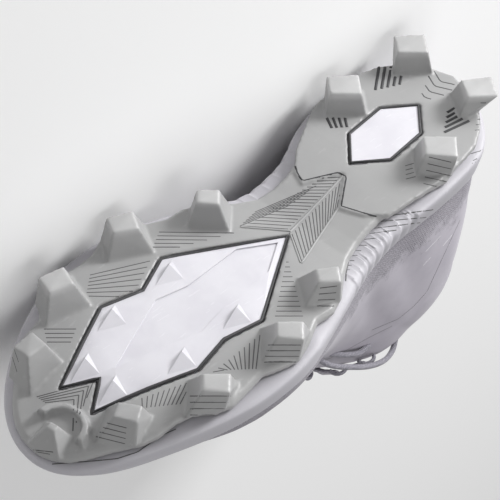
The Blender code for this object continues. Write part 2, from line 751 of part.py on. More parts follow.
def build_inserts(outsole, white):
    """Let the two white inserts into pockets in the plate."""
    front_top = INSERT_THICKNESS
    pocket = prism(lozenge_outline(INSERT_GROOVE), -POCKET_REACH, front_top + INSERT_FLOOR_GAP)
    combine(outsole, follow_sole(pocket, INSERT_FOLDS), "DIFFERENCE")
    heel_top = INSERT_THICKNESS - STEP_DEPTH
    pocket = prism(badge_outline(INSERT_GROOVE), -POCKET_REACH, heel_top + INSERT_FLOOR_GAP)
    combine(outsole, pocket, "DIFFERENCE")
    insert = finish("forefoot_insert", prism(lozenge_outline(), INSERT_SINK, front_top), white, 20.0)
    recess = [(row["across"] * BALL_WIDTH, row["along"] * SOLE_LENGTH) for row in RECESS]
    combine(insert, prism(recess, -POCKET_REACH, INSERT_SINK + RECESS_DEPTH), "DIFFERENCE")
    for facet in FACETS:
        combine(insert, facet_solid(facet), "UNION")
    bent = bmesh.new()
    bent.from_mesh(insert.data)
    follow_sole(bent, INSERT_FOLDS)
    bent.to_mesh(insert.data)
    bent.free()
    badge = prism(badge_outline(), INSERT_SINK - STEP_DEPTH, heel_top)
    return insert, finish("heel_insert", badge, white, 20.0)


def rib_stations(side):
    """Edges of the upright ribs on the waist of one side, as grooves."""
    start, end = (0.285, 0.470) if side > 0 else (0.300, 0.520)
    pitch = (end - start) / RIB_COUNT
    edges = []
    for index in range(RIB_COUNT):
        left = start + pitch * index
        edges.append((left + pitch * 0.02, 0.0))
        edges.append((left + pitch * 0.12, RIB_DEPTH))
        edges.append((left + pitch * 0.38, RIB_DEPTH))
        edges.append((left + pitch * 0.48, 0.0))
    return edges


def rand_columns():
    """Stations round the rand with the depth of the groove at each."""
    columns = []
    for side in (1, -1):
        ribs = rib_stations(side)
        low, high = ribs[0][0] - 0.006, ribs[-1][0] + 0.006
        plain = [(station, 0.0) for station in cosine_stations(34) if not low < station < high]
        line = sorted(plain + ribs)
        if side > 0:
            line.reverse()
            columns += [(station, side, depth) for station, depth in line]
        else:
            columns += [(station, side, depth) for station, depth in line[1:-1]]
    return columns


def rand_top(station, side):
    """Height of the rand's upper edge."""
    share = read_table(PROFILE, side_name(side) + "_rand", station, angular=False)
    return UPPER_BASE + rise(station) + RAND_HEIGHT * share


def build_midsole(look):
    """Midsole floor with the rand that wraps the upper's lower edge."""
    solid = bmesh.new()
    columns = rand_columns()
    profile = (
        ("floor", 0.0010, 0.0, False),
        ("foot", 0.0, 0.10, True),
        ("flank", 0.0, 0.35, True),
        ("flank", 0.0014, 0.80, True),
        ("lip", RAND_WALL - RAND_LIP, 1.0, False),
        ("inside", RAND_WALL, 1.0, False),
        ("inside", RAND_WALL, 0.70, False),
        ("inside", RAND_WALL, 0.35, False),
    )
    rings = []
    for kind, offset, share, ribbed in profile:
        ring = []
        for station, side, groove in columns:
            depth = offset + (groove if ribbed else 0.0)
            low = MIDSOLE_BASE + level_rise(station, depth)
            high = rand_top(station, side)
            height = low + (high - low) * share
            ring.append(solid.verts.new(form_point(station, side, height, depth)))
        rings.append(ring)
    floor = []
    for station, side, groove in columns:
        level = MIDSOLE_BASE + MIDSOLE_FLOOR + level_rise(station, RAND_WALL)
        floor.append(solid.verts.new(form_point(station, side, level, RAND_WALL)))
    rings.append(floor)
    for lower, upper in zip(rings, rings[1:]):
        join_rings(solid, lower, upper)
    cap_ring(solid, columns, rings[0])
    cap_ring(solid, columns, floor)
    return finish("midsole", solid, look)


def cap_ring(mesh_data, columns, ring):
    """Close a ring round the shoe with strips across it."""
    count = len(ring)
    toe = 0
    heel = min(range(count), key=lambda index: columns[index][0])
    outer = list(range(toe, heel + 1))
    inner = [toe] + list(range(count - 1, heel - 1, -1))
    a, b = 0, 0
    while a < len(outer) - 1 or b < len(inner) - 1:
        here_a, here_b = ring[outer[a]], ring[inner[b]]
        step_a = columns[outer[a + 1]][0] if a < len(outer) - 1 else -1.0
        step_b = columns[inner[b + 1]][0] if b < len(inner) - 1 else -1.0
        if step_a >= step_b:
            corner = ring[outer[a + 1]]
            if len({here_a, here_b, corner}) == 3:
                mesh_data.faces.new([here_a, here_b, corner])
            a += 1
        else:
            corner = ring[inner[b + 1]]
            if len({here_a, here_b, corner}) == 3:
                mesh_data.faces.new([here_a, here_b, corner])
            b += 1


def upper_stations():
    """Stations of the upper's sections with one at the throat's end."""
    stations = cosine_stations(34)
    nearest = min(range(len(stations)), key=lambda index: abs(stations[index] - THROAT_STATION))
    stations[nearest] = THROAT_STATION
    return stations


def overlay_step(station, share):
    """Outward step of the wall at the collar band and the eyestay."""
    if share < 0.83 or station >= THROAT_STATION:
        return 0.0
    return OVERLAY_STEP


def build_upper(look):
    """Hollow upper, open at the collar, the throat and underneath."""
    solid = bmesh.new()
    columns = ring_stations(upper_stations())
    shares = (0.0, 0.10, 0.20, 0.30, 0.40, 0.51, 0.62, 0.73, 0.825, 0.835, 0.92, 1.0)
    inner_shares = (0.0, 0.10, 0.20, 0.30, 0.40, 0.51, 0.62, 0.73, 0.83, 0.92, 1.0)
    outer_rows = []
    for share in shares:
        row = []
        for station, side in columns:
            step = overlay_step(station, share)
            row.append(upper_point(station, side, share, UPPER_OFFSET - step))
        outer_rows.append(row)
    inner_rows = []
    for share in inner_shares:
        inner_rows.append([upper_point(station, side, share, LINING_OFFSET) for station, side in columns])
    outer = add_grid(solid, outer_rows, close_columns=True)
    inner = add_grid(solid, inner_rows, close_columns=True, reverse=True)
    join_rings(solid, inner[0], outer[0])

    def closed(c):
        n = (c + 1) % len(columns)
        return columns[c][0] >= THROAT_STATION and columns[n][0] >= THROAT_STATION

    join_rings(solid, outer[-1], inner[-1], skip=closed)
    return finish("upper", solid, look)


def build_insole(look):
    """Footbed inside the upper on the midsole's floor."""
    solid = bmesh.new()
    offset = LINING_OFFSET + CLEARANCE
    stations = upper_stations()
    spans = (-1.0, -0.5, 0.0, 0.5, 1.0)
    sheets = []
    for lift in (0.0, INSOLE_THICKNESS):
        rows = []
        for station in stations:
            level = UPPER_BASE + level_rise(station, offset) + lift
            row = []
            for span in spans:
                side = 1 if span >= 0.0 else -1
                foot = form_point(station, side, level - lift, offset)
                edge = form_point(station, side, level, offset)
                y = min(foot.y, edge.y) if station > 0.5 else max(foot.y, edge.y)
                row.append((foot.x * abs(span), y, level))
            rows.append(row)
        sheets.append(add_grid(solid, rows, reverse=lift == 0.0))
    lower, upper = sheets
    ring_low = [row[-1] for row in reversed(lower)] + [row[0] for row in lower[1:-1]]
    ring_high = [row[-1] for row in reversed(upper)] + [row[0] for row in upper[1:-1]]
    join_rings(solid, ring_low, ring_high)
    return finish("insole", solid, look)


def tongue_over_instep(station, reach, offset):
    """Point under the upper's own roof at a distance from its middle."""
    side = 1 if reach >= 0.0 else -1
    base = UPPER_BASE + level_rise(station, offset)
    roof = crest_height(station) - (offset - UPPER_OFFSET)
    middle = form_point(station, side, roof, offset).x
    low, high = 0.0, math.pi * 0.5
    for _ in range(24):
        angle = 0.5 * (low + high)
        point = form_point(station, side, base + (roof - base) * math.sin(angle), offset)
        if abs(point.x - middle) > abs(reach):
            low = angle
        else:
            high = angle
    return point


def tongue_above_throat(station, reach, level):
    """Point of the free end of the tongue in front of the ankle."""
    height = read_table(TONGUE_END, "height", station, angular=False) * INSTEP_HEIGHT
    drop = read_table(TONGUE_END, "drop", station, angular=False) * INSTEP_HEIGHT
    share = reach / (TONGUE_WIDTH * 0.5)
    shift = read_table(SECTIONS, "shift", station) * BALL_WIDTH
    y = station * SOLE_LENGTH - abs(share) ** 2.2 * drop * 0.35 - level * 0.55
    return Vector((reach + shift, y, height - drop * abs(share) ** 2.4 - level * 0.83))


def tongue_point(station, span, level):
    """Point of the tongue across the throat, hung below the rim."""
    reach = span * TONGUE_WIDTH * 0.5
    blend = smooth_step((station - 0.36) / 0.06)
    free = tongue_above_throat(min(station, 0.42), reach, level)
    if blend == 0.0:
        return free
    held = tongue_over_instep(station, reach, LINING_OFFSET + TONGUE_GAP + level)
    return free.lerp(held, blend)


def build_tongue(look):
    """Padded tongue under the throat, rising a little above the collar."""
    solid = bmesh.new()
    stations = [0.64 - 0.035 * index for index in range(12)]
    spans = (-1.0, -0.75, -0.5, -0.25, 0.0, 0.25, 0.5, 0.75, 1.0)
    grids = []
    for level, reverse in ((0.0, False), (TONGUE_THICKNESS, True)):
        rows = []
        for station in stations:
            taper = 1.0 - 0.34 * smooth_step((station - 0.5) / 0.14)
            rows.append([tongue_point(station, span * taper, level) for span in spans])
        grids.append(add_grid(solid, rows, reverse=reverse))
    outer, inner = grids
    rims = []
    for grid in (outer, inner):
        ring = list(grid[0]) + [row[-1] for row in grid[1:-1]] + list(reversed(grid[-1]))
        ring += [row[0] for row in reversed(grid[1:-1])]
        rims.append(ring)
    join_rings(solid, rims[1], rims[0])
    return finish("tongue", solid, look)


def sweep(mesh_data, path, ups, half_wide, half_thick, sides):
    """Closed bar of flattened round section along a path."""
    rows = []
    for index, point in enumerate(path):
        ahead = path[min(index + 1, len(path) - 1)]
        behind = path[max(index - 1, 0)]
        along = (ahead - behind).normalized()
        across = along.cross(ups[index]).normalized()
        up = across.cross(along).normalized()
        row = []
        for corner in range(sides):
            turn = 2.0 * math.pi * (corner + 0.5) / sides
            row.append(point + across * half_wide * math.cos(turn) + up * half_thick * math.sin(turn))
        rows.append(row)
    grid = add_grid(mesh_data, rows, close_columns=True)
    mesh_data.faces.new(list(reversed(grid[0])))
    mesh_data.faces.new(grid[-1])


def wall_frame(row, side):
    """Point on the eyestay's outer face with its outward and rimward directions."""
    station, share = row["station"], row["share"]
    offset = UPPER_OFFSET - OVERLAY_STEP
    point = upper_point(station, side, share, offset)
    along = upper_point(station + 0.01, side, share, offset) - upper_point(station - 0.01, side, share, offset)
    up = upper_point(station, side, share + 0.05, offset) - upper_point(station, side, share - 0.05, offset)
    outward = along.cross(up).normalized()
    if outward.x * side < 0.0:
        outward.negate()
    return point, outward, up.normalized(), along.normalized()


def build_loop(row, side, name, look):
    """Cord loop standing on the eyestay, which the lace passes through."""
    point, outward, _, along = wall_frame(row, side)
    foot = point + outward * (CLEARANCE + LOOP_TUBE + 0.0002)
    path = []
    turns = 6
    for index in range(turns + 1):
        turn = math.pi * index / turns
        path.append(foot + along * (-math.cos(turn)) * (LOOP_SPAN * 0.5 - LOOP_TUBE)
                    + outward * math.sin(turn) * (LOOP_HEIGHT - LOOP_TUBE))
    across = along.cross(outward)
    solid = bmesh.new()
    sweep(solid, path, [across] * len(path), LOOP_TUBE, LOOP_TUBE, 6)
    return finish(name, solid, look, 60.0)


def lace_end(row, side):
    """Point beside a loop where the lace comes off the eyestay."""
    point, outward, up, _ = wall_frame(row, side)
    gap = LOOP_TUBE + LACE_WIDTH * 0.35
    return point + up * gap + outward * (LACE_STAND + LACE_THICKNESS * 0.5), outward


def lace_strand(first, first_side, second, second_side):
    """Bar of lace from one loop over the tongue to another."""
    start, start_up = lace_end(first, first_side)
    end, end_up = lace_end(second, second_side)
    station = 0.5 * (first["station"] + second["station"])
    top = tongue_point(station, 0.0, 0.0)
    chord = (start + end) * 0.5
    bulge_way = Vector((0.0, 0.5, 0.866))
    lift = max((top - chord).dot(bulge_way) + LACE_CLEAR + LACE_THICKNESS * 0.5, 0.003)
    path = []
    ups = []
    count = 9
    for index in range(count):
        t = index / (count - 1)
        path.append(start.lerp(end, t) + bulge_way * lift * math.sin(math.pi * t) ** 0.5)
        ups.append(start_up.lerp(end_up, t) + bulge_way * 1.2 * math.sin(math.pi * t))
    solid = bmesh.new()
    sweep(solid, path, ups, LACE_WIDTH * 0.5, LACE_THICKNESS * 0.5, 6)
    bmesh.ops.recalc_face_normals(solid, faces=solid.faces)
    return solid


def build_lace(look):
    """Crossed lacing over the tongue, joined where the strands meet."""
    lace = finish("lace", lace_strand(LOOP_ROWS[0], 1, LOOP_ROWS[0], -1), look, 60.0)
    for lower, upper in zip(LOOP_ROWS, LOOP_ROWS[1:]):
        for side in (1, -1):
            combine(lace, lace_strand(lower, side, upper, -side), "UNION")
    return lace


def lay_down(objects):
    """Turn the shoe onto the hull face that it rests on, and set its origin."""
    cloud = bmesh.new()
    for item in objects:
        for vertex in item.data.vertices:
            cloud.verts.new(vertex.co)
    made = bmesh.ops.convex_hull(cloud, input=cloud.verts)
    centre = Vector((0.0, 0.45 * SOLE_LENGTH, 0.34 * COLLAR_FRONT_HEIGHT))
    hull_faces = [item for item in made["geom"] if isinstance(item, bmesh.types.BMFace)]
    middle = sum((face.calc_center_median() for face in hull_faces), Vector()) / len(hull_faces)
    best = None
    for face in hull_faces:
        normal = face.normal.copy()
        if normal.dot(face.calc_center_median() - middle) < 0.0:
            normal.negate()
        corners = [vertex.co.copy() for vertex in face.verts]
        if normal.x > -0.8 or face.calc_area() < 1e-6:
            continue
        foot = centre - normal * (centre - corners[0]).dot(normal)
        if inside_face(foot, corners, normal):
            best = normal
    cloud.free()
    turn = best.rotation_difference(Vector((0.0, 0.0, -1.0))).to_matrix().to_4x4()
    for item in objects:
        item.data.transform(turn)
    low = [min(v.co[axis] for item in objects for v in item.data.vertices) for axis in range(3)]
    high = [max(v.co[axis] for item in objects for v in item.data.vertices) for axis in range(3)]
    move = Matrix.Translation((-(low[0] + high[0]) / 2.0, -(low[1] + high[1]) / 2.0, -low[2]))
    for item in objects:
        item.data.transform(move)
        item.data.update()


def inside_face(point, corners, normal):
    """Whether a point in the face's plane lies between its edges."""
    signs = []
    for first, second in zip(corners, corners[1:] + corners[:1]):
        signs.append((second - first).cross(point - first).dot(normal))
    return all(value >= 0.0 for value in signs) or all(value <= 0.0 for value in signs)


def main():
    """Build every piece of the cleat."""
    clear_scene()
    grey = material("sole_rubber", GREY, 0.45)
    rand = material("rand_rubber", RAND_GREY, 0.42)
    white = material("insert_plastic", WHITE, 0.22)
    knit = material("knit_upper", KNIT_GREY, 0.75)
    lining = material("lining", LINING_GREY, 0.9)
    lace_look = material("lace_cord", LACE_GREY, 0.8)
    outsole = build_outsole(grey)
    pieces = [outsole]
    pieces += build_inserts(outsole, white)
    pieces.append(build_midsole(rand))
    pieces.append(build_upper(knit))
    pieces.append(build_insole(lining))
    pieces.append(build_tongue(knit))
    for index, row in enumerate(LOOP_ROWS):
        for side in (1, -1):
            pieces.append(build_loop(row, side, f"lace_loop_{side_name(side)}_{index + 1}", lace_look))
    pieces.append(build_lace(lace_look))
    lay_down(pieces)


main()
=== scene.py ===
"""American football cleat, a right shoe lying on its inner side.

Places are given in the shoe's own frame, in metres: X towards the outer side
of the foot, Y from the heel to the toe, Z up from the sole plate's underside.
ShoeSpace turns them into the frame that the solids stand in.  Ribs and lines
are given as points of the picture, out of 500 from its upper left corner.
Sight puts them before the camera, and their node trees cast them from its eye
onto the piece that carries them.
"""

import logging
import math
from dataclasses import dataclass, field
from enum import Enum
from typing import Iterable, Sequence

import bmesh
import bpy
from mathutils import Matrix, Vector


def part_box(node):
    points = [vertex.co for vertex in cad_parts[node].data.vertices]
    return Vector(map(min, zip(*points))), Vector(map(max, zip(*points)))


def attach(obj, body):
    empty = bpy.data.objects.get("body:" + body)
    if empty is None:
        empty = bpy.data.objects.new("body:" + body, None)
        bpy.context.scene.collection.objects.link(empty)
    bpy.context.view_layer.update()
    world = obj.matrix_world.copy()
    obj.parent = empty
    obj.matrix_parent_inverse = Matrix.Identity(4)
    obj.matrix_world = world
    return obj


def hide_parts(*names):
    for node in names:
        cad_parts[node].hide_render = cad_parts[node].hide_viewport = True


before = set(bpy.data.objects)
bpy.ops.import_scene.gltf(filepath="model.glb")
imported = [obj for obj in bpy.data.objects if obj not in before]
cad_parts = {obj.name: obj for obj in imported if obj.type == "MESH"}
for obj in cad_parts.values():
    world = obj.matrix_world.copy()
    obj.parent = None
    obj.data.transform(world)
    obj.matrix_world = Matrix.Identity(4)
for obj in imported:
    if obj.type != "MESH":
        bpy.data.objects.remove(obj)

LOG = logging.getLogger("cleat")

# The heel insert's flat face, by which the shoe's frame is found
BADGE_CENTRE = 0.05555
BADGE_FACE = -0.0008
FLAT_FACE = 0.999

# The photograph's angle and distance, in the shoe's frame
VIEW_AHEAD = (-0.385, -0.544, 0.748)
VIEW_RIGHT = (0.767, -0.639, -0.070)
VIEW_AIM = (0.0, 0.150, 0.0)
VIEW_DISTANCE = 0.80

# Fineness of the meshes
SAME_CORNER = 0.000005
SAME_RIM_CORNER = 0.00001
RIB_POINTS = 18
CROSSING = 0.0005
LINE_STEP = 0.0008
STRAND_PARTS = 6
RAILS = ("First Rail Start", "First Rail End", "Second Rail Start", "Second Rail End")

Plan = tuple[float, float]
Place = tuple[float, float, float]
Colour = tuple[float, float, float]
Piece = bpy.types.Object
Look = bpy.types.Material
Tree = bpy.types.NodeTree
Mesh = bpy.types.Mesh
Node = bpy.types.Node
Socket = bpy.types.NodeSocket


class Lay(Enum):
    """How deep a rib or a line lies in what carries it."""

    RAISED = 0.25
    SET = 0.55
    FLUSH = 0.70


class Tone(Enum):
    """Finish of a rib or a line, by its field in Finishes; the deep and soft finishes are dark and paint the
    shade in grooves and between ribs, the seam finish paints the shadow along a seam.
    """

    DEEP = "deep"
    SOFT = "soft"
    SOLE = "sole"
    PALE = "pale"
    SEAM = "seam"


@dataclass(frozen=True)
class ShoeSpace:
    """The shoe's own axes, found from the heel insert's flat face."""

    origin: Vector
    outer: Vector
    toe: Vector
    up: Vector

    @classmethod
    def from_insert(cls, insert: Piece, inside: Vector) -> "ShoeSpace":
        """Read the axes from the insert's flat underside.

        Args:
            insert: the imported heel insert.
            inside: a point inside the shoe.

        Returns:
            The shoe's frame.
        """
        mesh = insert.data
        widest = max(mesh.polygons, key=lambda face: face.area)
        down = widest.normal.copy()
        if down.dot(widest.center - inside) < 0.0:
            down.negate()
        flat = {}
        for face in mesh.polygons:
            if face.normal.dot(down) > FLAT_FACE:
                for index in face.vertices:
                    point = mesh.vertices[index].co
                    flat[tuple(round(value, 6) for value in point)] = point.copy()
        corners = list(flat.values())
        pairs = ((a, b) for a in corners for b in corners)
        heel, toe = max(pairs, key=lambda pair: (pair[0] - pair[1]).length)
        if heel.y > toe.y:
            heel, toe = toe, heel
        along = (toe - heel).normalized()
        up = -down
        outer = along.cross(up).normalized()
        centre = (heel + toe) * 0.5
        origin = centre - along * BADGE_CENTRE - up * BADGE_FACE
        return cls(origin, outer, along, up)

    def world(self, x: float, y: float, z: float) -> Vector:
        """Place of a point of the shoe in the solids' frame."""
        return self.origin + self.outer * x + self.toe * y + self.up * z

    def turn(self, vector: Sequence[float]) -> Vector:
        """Turn a direction of the shoe into the solids' frame."""
        return self.outer * vector[0] + self.toe * vector[1] + self.up * vector[2]

    def local(self, point: Vector) -> Vector:
        """Give a point of the solids' frame in the shoe's own axes."""
        away = point - self.origin
        return Vector((away.dot(self.outer), away.dot(self.toe), away.dot(self.up)))


def smooth_step(value: float) -> float:
    """Ease from zero to one."""
    value = min(max(value, 0.0), 1.0)
    return value * value * (3.0 - 2.0 * value)


@dataclass(frozen=True)
class Sight:
    """The camera's eye and axes, and the line of sight of each picture point."""

    eye: Vector
    right: Vector
    ahead: Vector
    lens: float = 137.1
    sensor: float = 36.0
    frame_size: float = 500.0

    @classmethod
    def of_shoe(cls, space: ShoeSpace) -> "Sight":
        """Look at the shoe from the photograph's angle."""
        ahead = space.turn(VIEW_AHEAD).normalized()
        right = space.turn(VIEW_RIGHT)
        right = (right - ahead * right.dot(ahead)).normalized()
        return cls(space.world(*VIEW_AIM) - ahead * VIEW_DISTANCE, right, ahead)

    @property
    def down(self) -> Vector:
        """Direction of the picture's lower edge."""
        return self.ahead.cross(self.right)

    def before(self, x: float, y: float, reach: float = 0.5) -> Vector:
        """A point in front of the shoe on the line of sight of a picture point.

        Args:
            x: picture column, out of 500.
            y: picture row, out of 500.
            reach: distance from the eye.

        Returns:
            The point.
        """
        half = self.frame_size * 0.5
        focal = self.lens / self.sensor * self.frame_size
        way = self.ahead * focal + self.right * (x - half) + self.down * (y - half)
        return self.eye + way.normalized() * reach


# Finishes


class NodeBuilder:
    """Short hand for building a tree of nodes."""

    def __init__(self, tree: Tree) -> None:
        """Keep the tree that the nodes go into."""
        self.tree = tree

    def node(self, kind: str, inputs: dict | None = None, **settings: object) -> Node:
        """Add a node with its settings and inputs.

        Args:
            kind: the node's type name.
            inputs: values or sockets by input name or number.
            settings: attributes of the node.

        Returns:
            The node.
        """
        made = self.tree.nodes.new(kind)
        for key, value in settings.items():
            setattr(made, key, value)
        for key, value in (inputs or {}).items():
            self.feed(made.inputs[key], value)
        return made

    def feed(self, socket: Socket, value: object) -> None:
        """Link a socket or set its value."""
        if isinstance(value, Socket):
            self.tree.links.new(value, socket)
        else:
            socket.default_value = value

    def maths(self, operation: str, *values: object) -> Socket:
        """Add a Math node and give its output."""
        return self.node("ShaderNodeMath", dict(enumerate(values)), operation=operation).outputs[0]


class Graph(NodeBuilder):
    """Short hand for building a material."""

    def __init__(self, name: str) -> None:
        """Start a material with one Principled shader."""
        self.material = bpy.data.materials.new(name)
        self.material.use_nodes = True
        super().__init__(self.material.node_tree)
        self.shader = self.tree.nodes["Principled BSDF"]

    def mix(self, share: object, first: object, second: object) -> Socket:
        """Mix two colours.

        Args:
            share: how much of the second shows.
            first: a colour or socket.
            second: a colour or socket.

        Returns:
            The mixed colour.
        """
        made = self.node("ShaderNodeMix", data_type="RGBA")
        self.feed(made.inputs["Factor"], share)
        for name, value in (("A", first), ("B", second)):
            socket = next(item for item in made.inputs if item.name == name and item.type == "RGBA")
            self.feed(socket, (*value, 1.0) if isinstance(value, tuple) else value)
        return next(item for item in made.outputs if item.type == "RGBA")

    def tint(self, colour: object, mask: Socket, share: float, other: object) -> Socket:
        """Lay a share of another colour over one, where a mask shows."""
        return self.mix(self.maths("MULTIPLY", mask, share), colour, other)

    def ramp(self, value: Socket, low: float, high: float) -> Socket:
        """Map a value to zero below low and one above high, smoothly."""
        values = {"Value": value, "From Min": low, "From Max": high}
        made = self.node("ShaderNodeMapRange", values, interpolation_type="SMOOTHSTEP")
        return made.outputs["Result"]

    def noise(self, place: object, scale: float, detail: float = 3.0, rough: float = 0.55) -> Socket:
        """Add a noise texture and give its value."""
        values = {"Vector": place, "Scale": scale, "Detail": detail, "Roughness": rough}
        return self.node("ShaderNodeTexNoise", values).outputs[0]

    def streaks(self, place: Socket, squash: float, scale: float) -> Socket:
        """Add a noise that is drawn out along Y."""
        drawn = self.node("ShaderNodeMapping", {"Vector": place, "Scale": (1.0, squash, 1.0)})
        return self.noise(drawn.outputs[0], scale)

    def cells(self, place: Socket, scale: float, chance: float) -> Socket:
        """Add a cell texture and give the distance from each cell's centre."""
        values = {"Vector": place, "Scale": scale, "Randomness": chance}
        return self.node("ShaderNodeTexVoronoi", values).outputs["Distance"]

    def bump(self, height: object, strength: float, distance: float, onto: object = None) -> Socket:
        """Add a bump on top of another one."""
        inputs = {"Height": height, "Strength": strength, "Distance": distance}
        if onto is not None:
            inputs["Normal"] = onto
        return self.node("ShaderNodeBump", inputs).outputs[0]

    def place(self) -> Socket:
        """Object coordinates."""
        return self.node("ShaderNodeTexCoord").outputs["Object"]

    def attribute(self, name: str) -> Socket:
        """Value of a named attribute of the piece."""
        return self.node("ShaderNodeAttribute", attribute_name=name).outputs["Fac"]

    def finish(self, colour: object, rough: object, normal: object, **constants: float) -> Look:
        """Connect the shader.

        Args:
            colour: base colour.
            rough: roughness.
            normal: bumped normal.
            constants: values of the shader's own sockets by name.

        Returns:
            The material.
        """
        if isinstance(colour, tuple):
            colour = (*colour, 1.0)
        self.feed(self.shader.inputs["Base Color"], colour)
        self.feed(self.shader.inputs["Roughness"], rough)
        self.feed(self.shader.inputs["Normal"], normal)
        for name, value in constants.items():
            self.shader.inputs[name.replace("_", " ")].default_value = value
        return self.material


@dataclass(frozen=True)
class Finish:
    """What every finish has: a name, a colour and a shade that varies it."""

    name: str
    colour: Colour
    shade: Colour


@dataclass(frozen=True)
class MouldedRubber(Finish):
    """Moulded sole rubber with a fine grain, faint mottling, scuffs and a painted highlight on the stud tips.
    """

    rough: float = 0.42
    grain: float = 0.10
    coat: float = 0.10
    scuffed: Colour = (0.72, 0.72, 0.73)
    # Colour of the painted highlight laid on the stud tips
    tip_highlight: Colour = (0.62, 0.62, 0.62)

    def make(self) -> Look:
        """Build the material."""
        graph = Graph(self.name)
        place = graph.place()
        cloud = graph.ramp(graph.noise(place, 38.0, 4.0), 0.35, 0.70)
        speck = graph.ramp(graph.noise(place, 900.0, 2.0), 0.60, 0.72)
        scuff = graph.ramp(graph.streaks(place, 0.16, 420.0), 0.62, 0.74)
        colour = graph.tint(self.colour, cloud, 0.35, self.shade)
        colour = graph.tint(colour, speck, 0.16, self.shade)
        colour = graph.tint(colour, scuff, 0.10, self.scuffed)
        # Painted highlight: the stud tips, marked by the tip attribute, are lightened by a mottled share
        tip_highlight_share = graph.maths("MULTIPLY", graph.attribute("tip"), graph.maths("MULTIPLY_ADD", cloud, 0.3, 0.25))
        colour = graph.mix(tip_highlight_share, colour, self.tip_highlight)
        rough = graph.maths("MULTIPLY_ADD", cloud, 0.08, self.rough)
        rough = graph.maths("MULTIPLY_ADD", scuff, 0.14, rough)
        normal = graph.bump(graph.noise(place, 2600.0, 2.0), self.grain, 0.0001)
        normal = graph.bump(cloud, 0.10, 0.0003, normal)
        return graph.finish(colour, rough, normal, Coat_Weight=self.coat, Coat_Roughness=0.35)


@dataclass(frozen=True)
class PearlPlastic(Finish):
    """White glossy insert plastic with a faint pearly cloud."""

    def make(self) -> Look:
        """Build the material."""
        graph = Graph(self.name)
        place = graph.place()
        cloud = graph.ramp(graph.noise(place, 55.0), 0.35, 0.72)
        scratch = graph.ramp(graph.streaks(place, 0.08, 700.0), 0.63, 0.75)
        colour = graph.tint(self.colour, cloud, 0.5, self.shade)
        rough = graph.maths("MULTIPLY_ADD", scratch, 0.22, 0.24)
        normal = graph.bump(graph.noise(place, 1800.0, 2.0), 0.05, 0.0001)
        return graph.finish(colour, rough, normal, Coat_Weight=0.35, Coat_Roughness=0.12)


@dataclass(frozen=True)
class KnitSkin(Finish):
    """Knit with dark pinholes near the rand, dissolving into a smooth skin."""

    hole: Colour
    pitch: float = 0.00125

    def make(self) -> Look:
        """Build the material."""
        graph = Graph(self.name)
        cloth = graph.node("ShaderNodeUVMap", uv_map="cloth").outputs[0]
        edge = graph.attribute("above_rand")
        place = graph.place()
        drift = graph.noise(place, 26.0, 4.0, 0.6)
        fine = graph.noise(place, 170.0, 3.0, 0.6)
        spot = graph.cells(cloth, 1.0 / self.pitch, 0.14)
        for veil, share in ((drift, 0.55), (fine, 0.60)):
            ragged = graph.maths("MULTIPLY", graph.maths("SUBTRACT", veil, 0.5), share)
            edge = graph.maths("ADD", edge, ragged)
        knit = graph.maths("SUBTRACT", 1.0, graph.ramp(edge, 0.36, 0.60))
        hole = graph.maths("SUBTRACT", 1.0, graph.ramp(spot, 0.26, 0.46))
        hole = graph.maths("MULTIPLY", hole, knit)
        cloud = graph.ramp(graph.noise(place, 60.0, 4.0), 0.35, 0.70)
        bands = {"Vector": cloth, "Scale": 0.30 / self.pitch, "Distortion": 1.2, "Detail": 2.0}
        wave = graph.node("ShaderNodeTexWave", bands, wave_type="BANDS", bands_direction="Y").outputs["Fac"]
        colour = graph.tint(self.colour, cloud, 0.45, self.shade)
        colour = graph.tint(colour, graph.maths("MULTIPLY", wave, knit), 0.60, self.shade)
        colour = graph.tint(colour, hole, 0.90, self.hole)
        rough = graph.maths("MULTIPLY_ADD", knit, 0.24, 0.50)
        weave = graph.maths("SUBTRACT", graph.maths("MULTIPLY", wave, 0.4), hole)
        normal = graph.bump(graph.maths("MULTIPLY", weave, knit), 0.55, 0.0003)
        normal = graph.bump(graph.noise(cloth, 1500.0, 2.0), 0.16, 0.0001, normal)
        return graph.finish(colour, rough, normal, Sheen_Weight=0.18, Sheen_Roughness=0.5)


@dataclass(frozen=True)
class WovenCord(Finish):
    """Braided cord or ribbon."""

    pitch: float = 0.0011

    def make(self) -> Look:
        """Build the material."""
        graph = Graph(self.name)
        place = graph.place()
        braid = graph.cells(place, 1.0 / self.pitch, 0.35)
        cloud = graph.noise(place, 300.0)
        thread = graph.ramp(braid, 0.15, 0.62)
        colour = graph.tint(self.colour, thread, 0.55, self.shade)
        colour = graph.tint(colour, graph.ramp(cloud, 0.5, 0.7), 0.2, self.shade)
        normal = graph.bump(graph.maths("SUBTRACT", 1.0, thread), 0.7, 0.0003)
        return graph.finish(colour, 0.78, normal, Sheen_Weight=0.3, Sheen_Roughness=0.4)


@dataclass(frozen=True)
class LiningCloth(Finish):
    """Soft mesh lining and footbed cloth."""

    def make(self) -> Look:
        """Build the material."""
        graph = Graph(self.name)
        spot = graph.ramp(graph.cells(graph.place(), 620.0, 0.3), 0.12, 0.5)
        colour = graph.mix(spot, self.shade, self.colour)
        return graph.finish(colour, 0.92, graph.bump(spot, 0.5, 0.0004), Sheen_Weight=0.25)


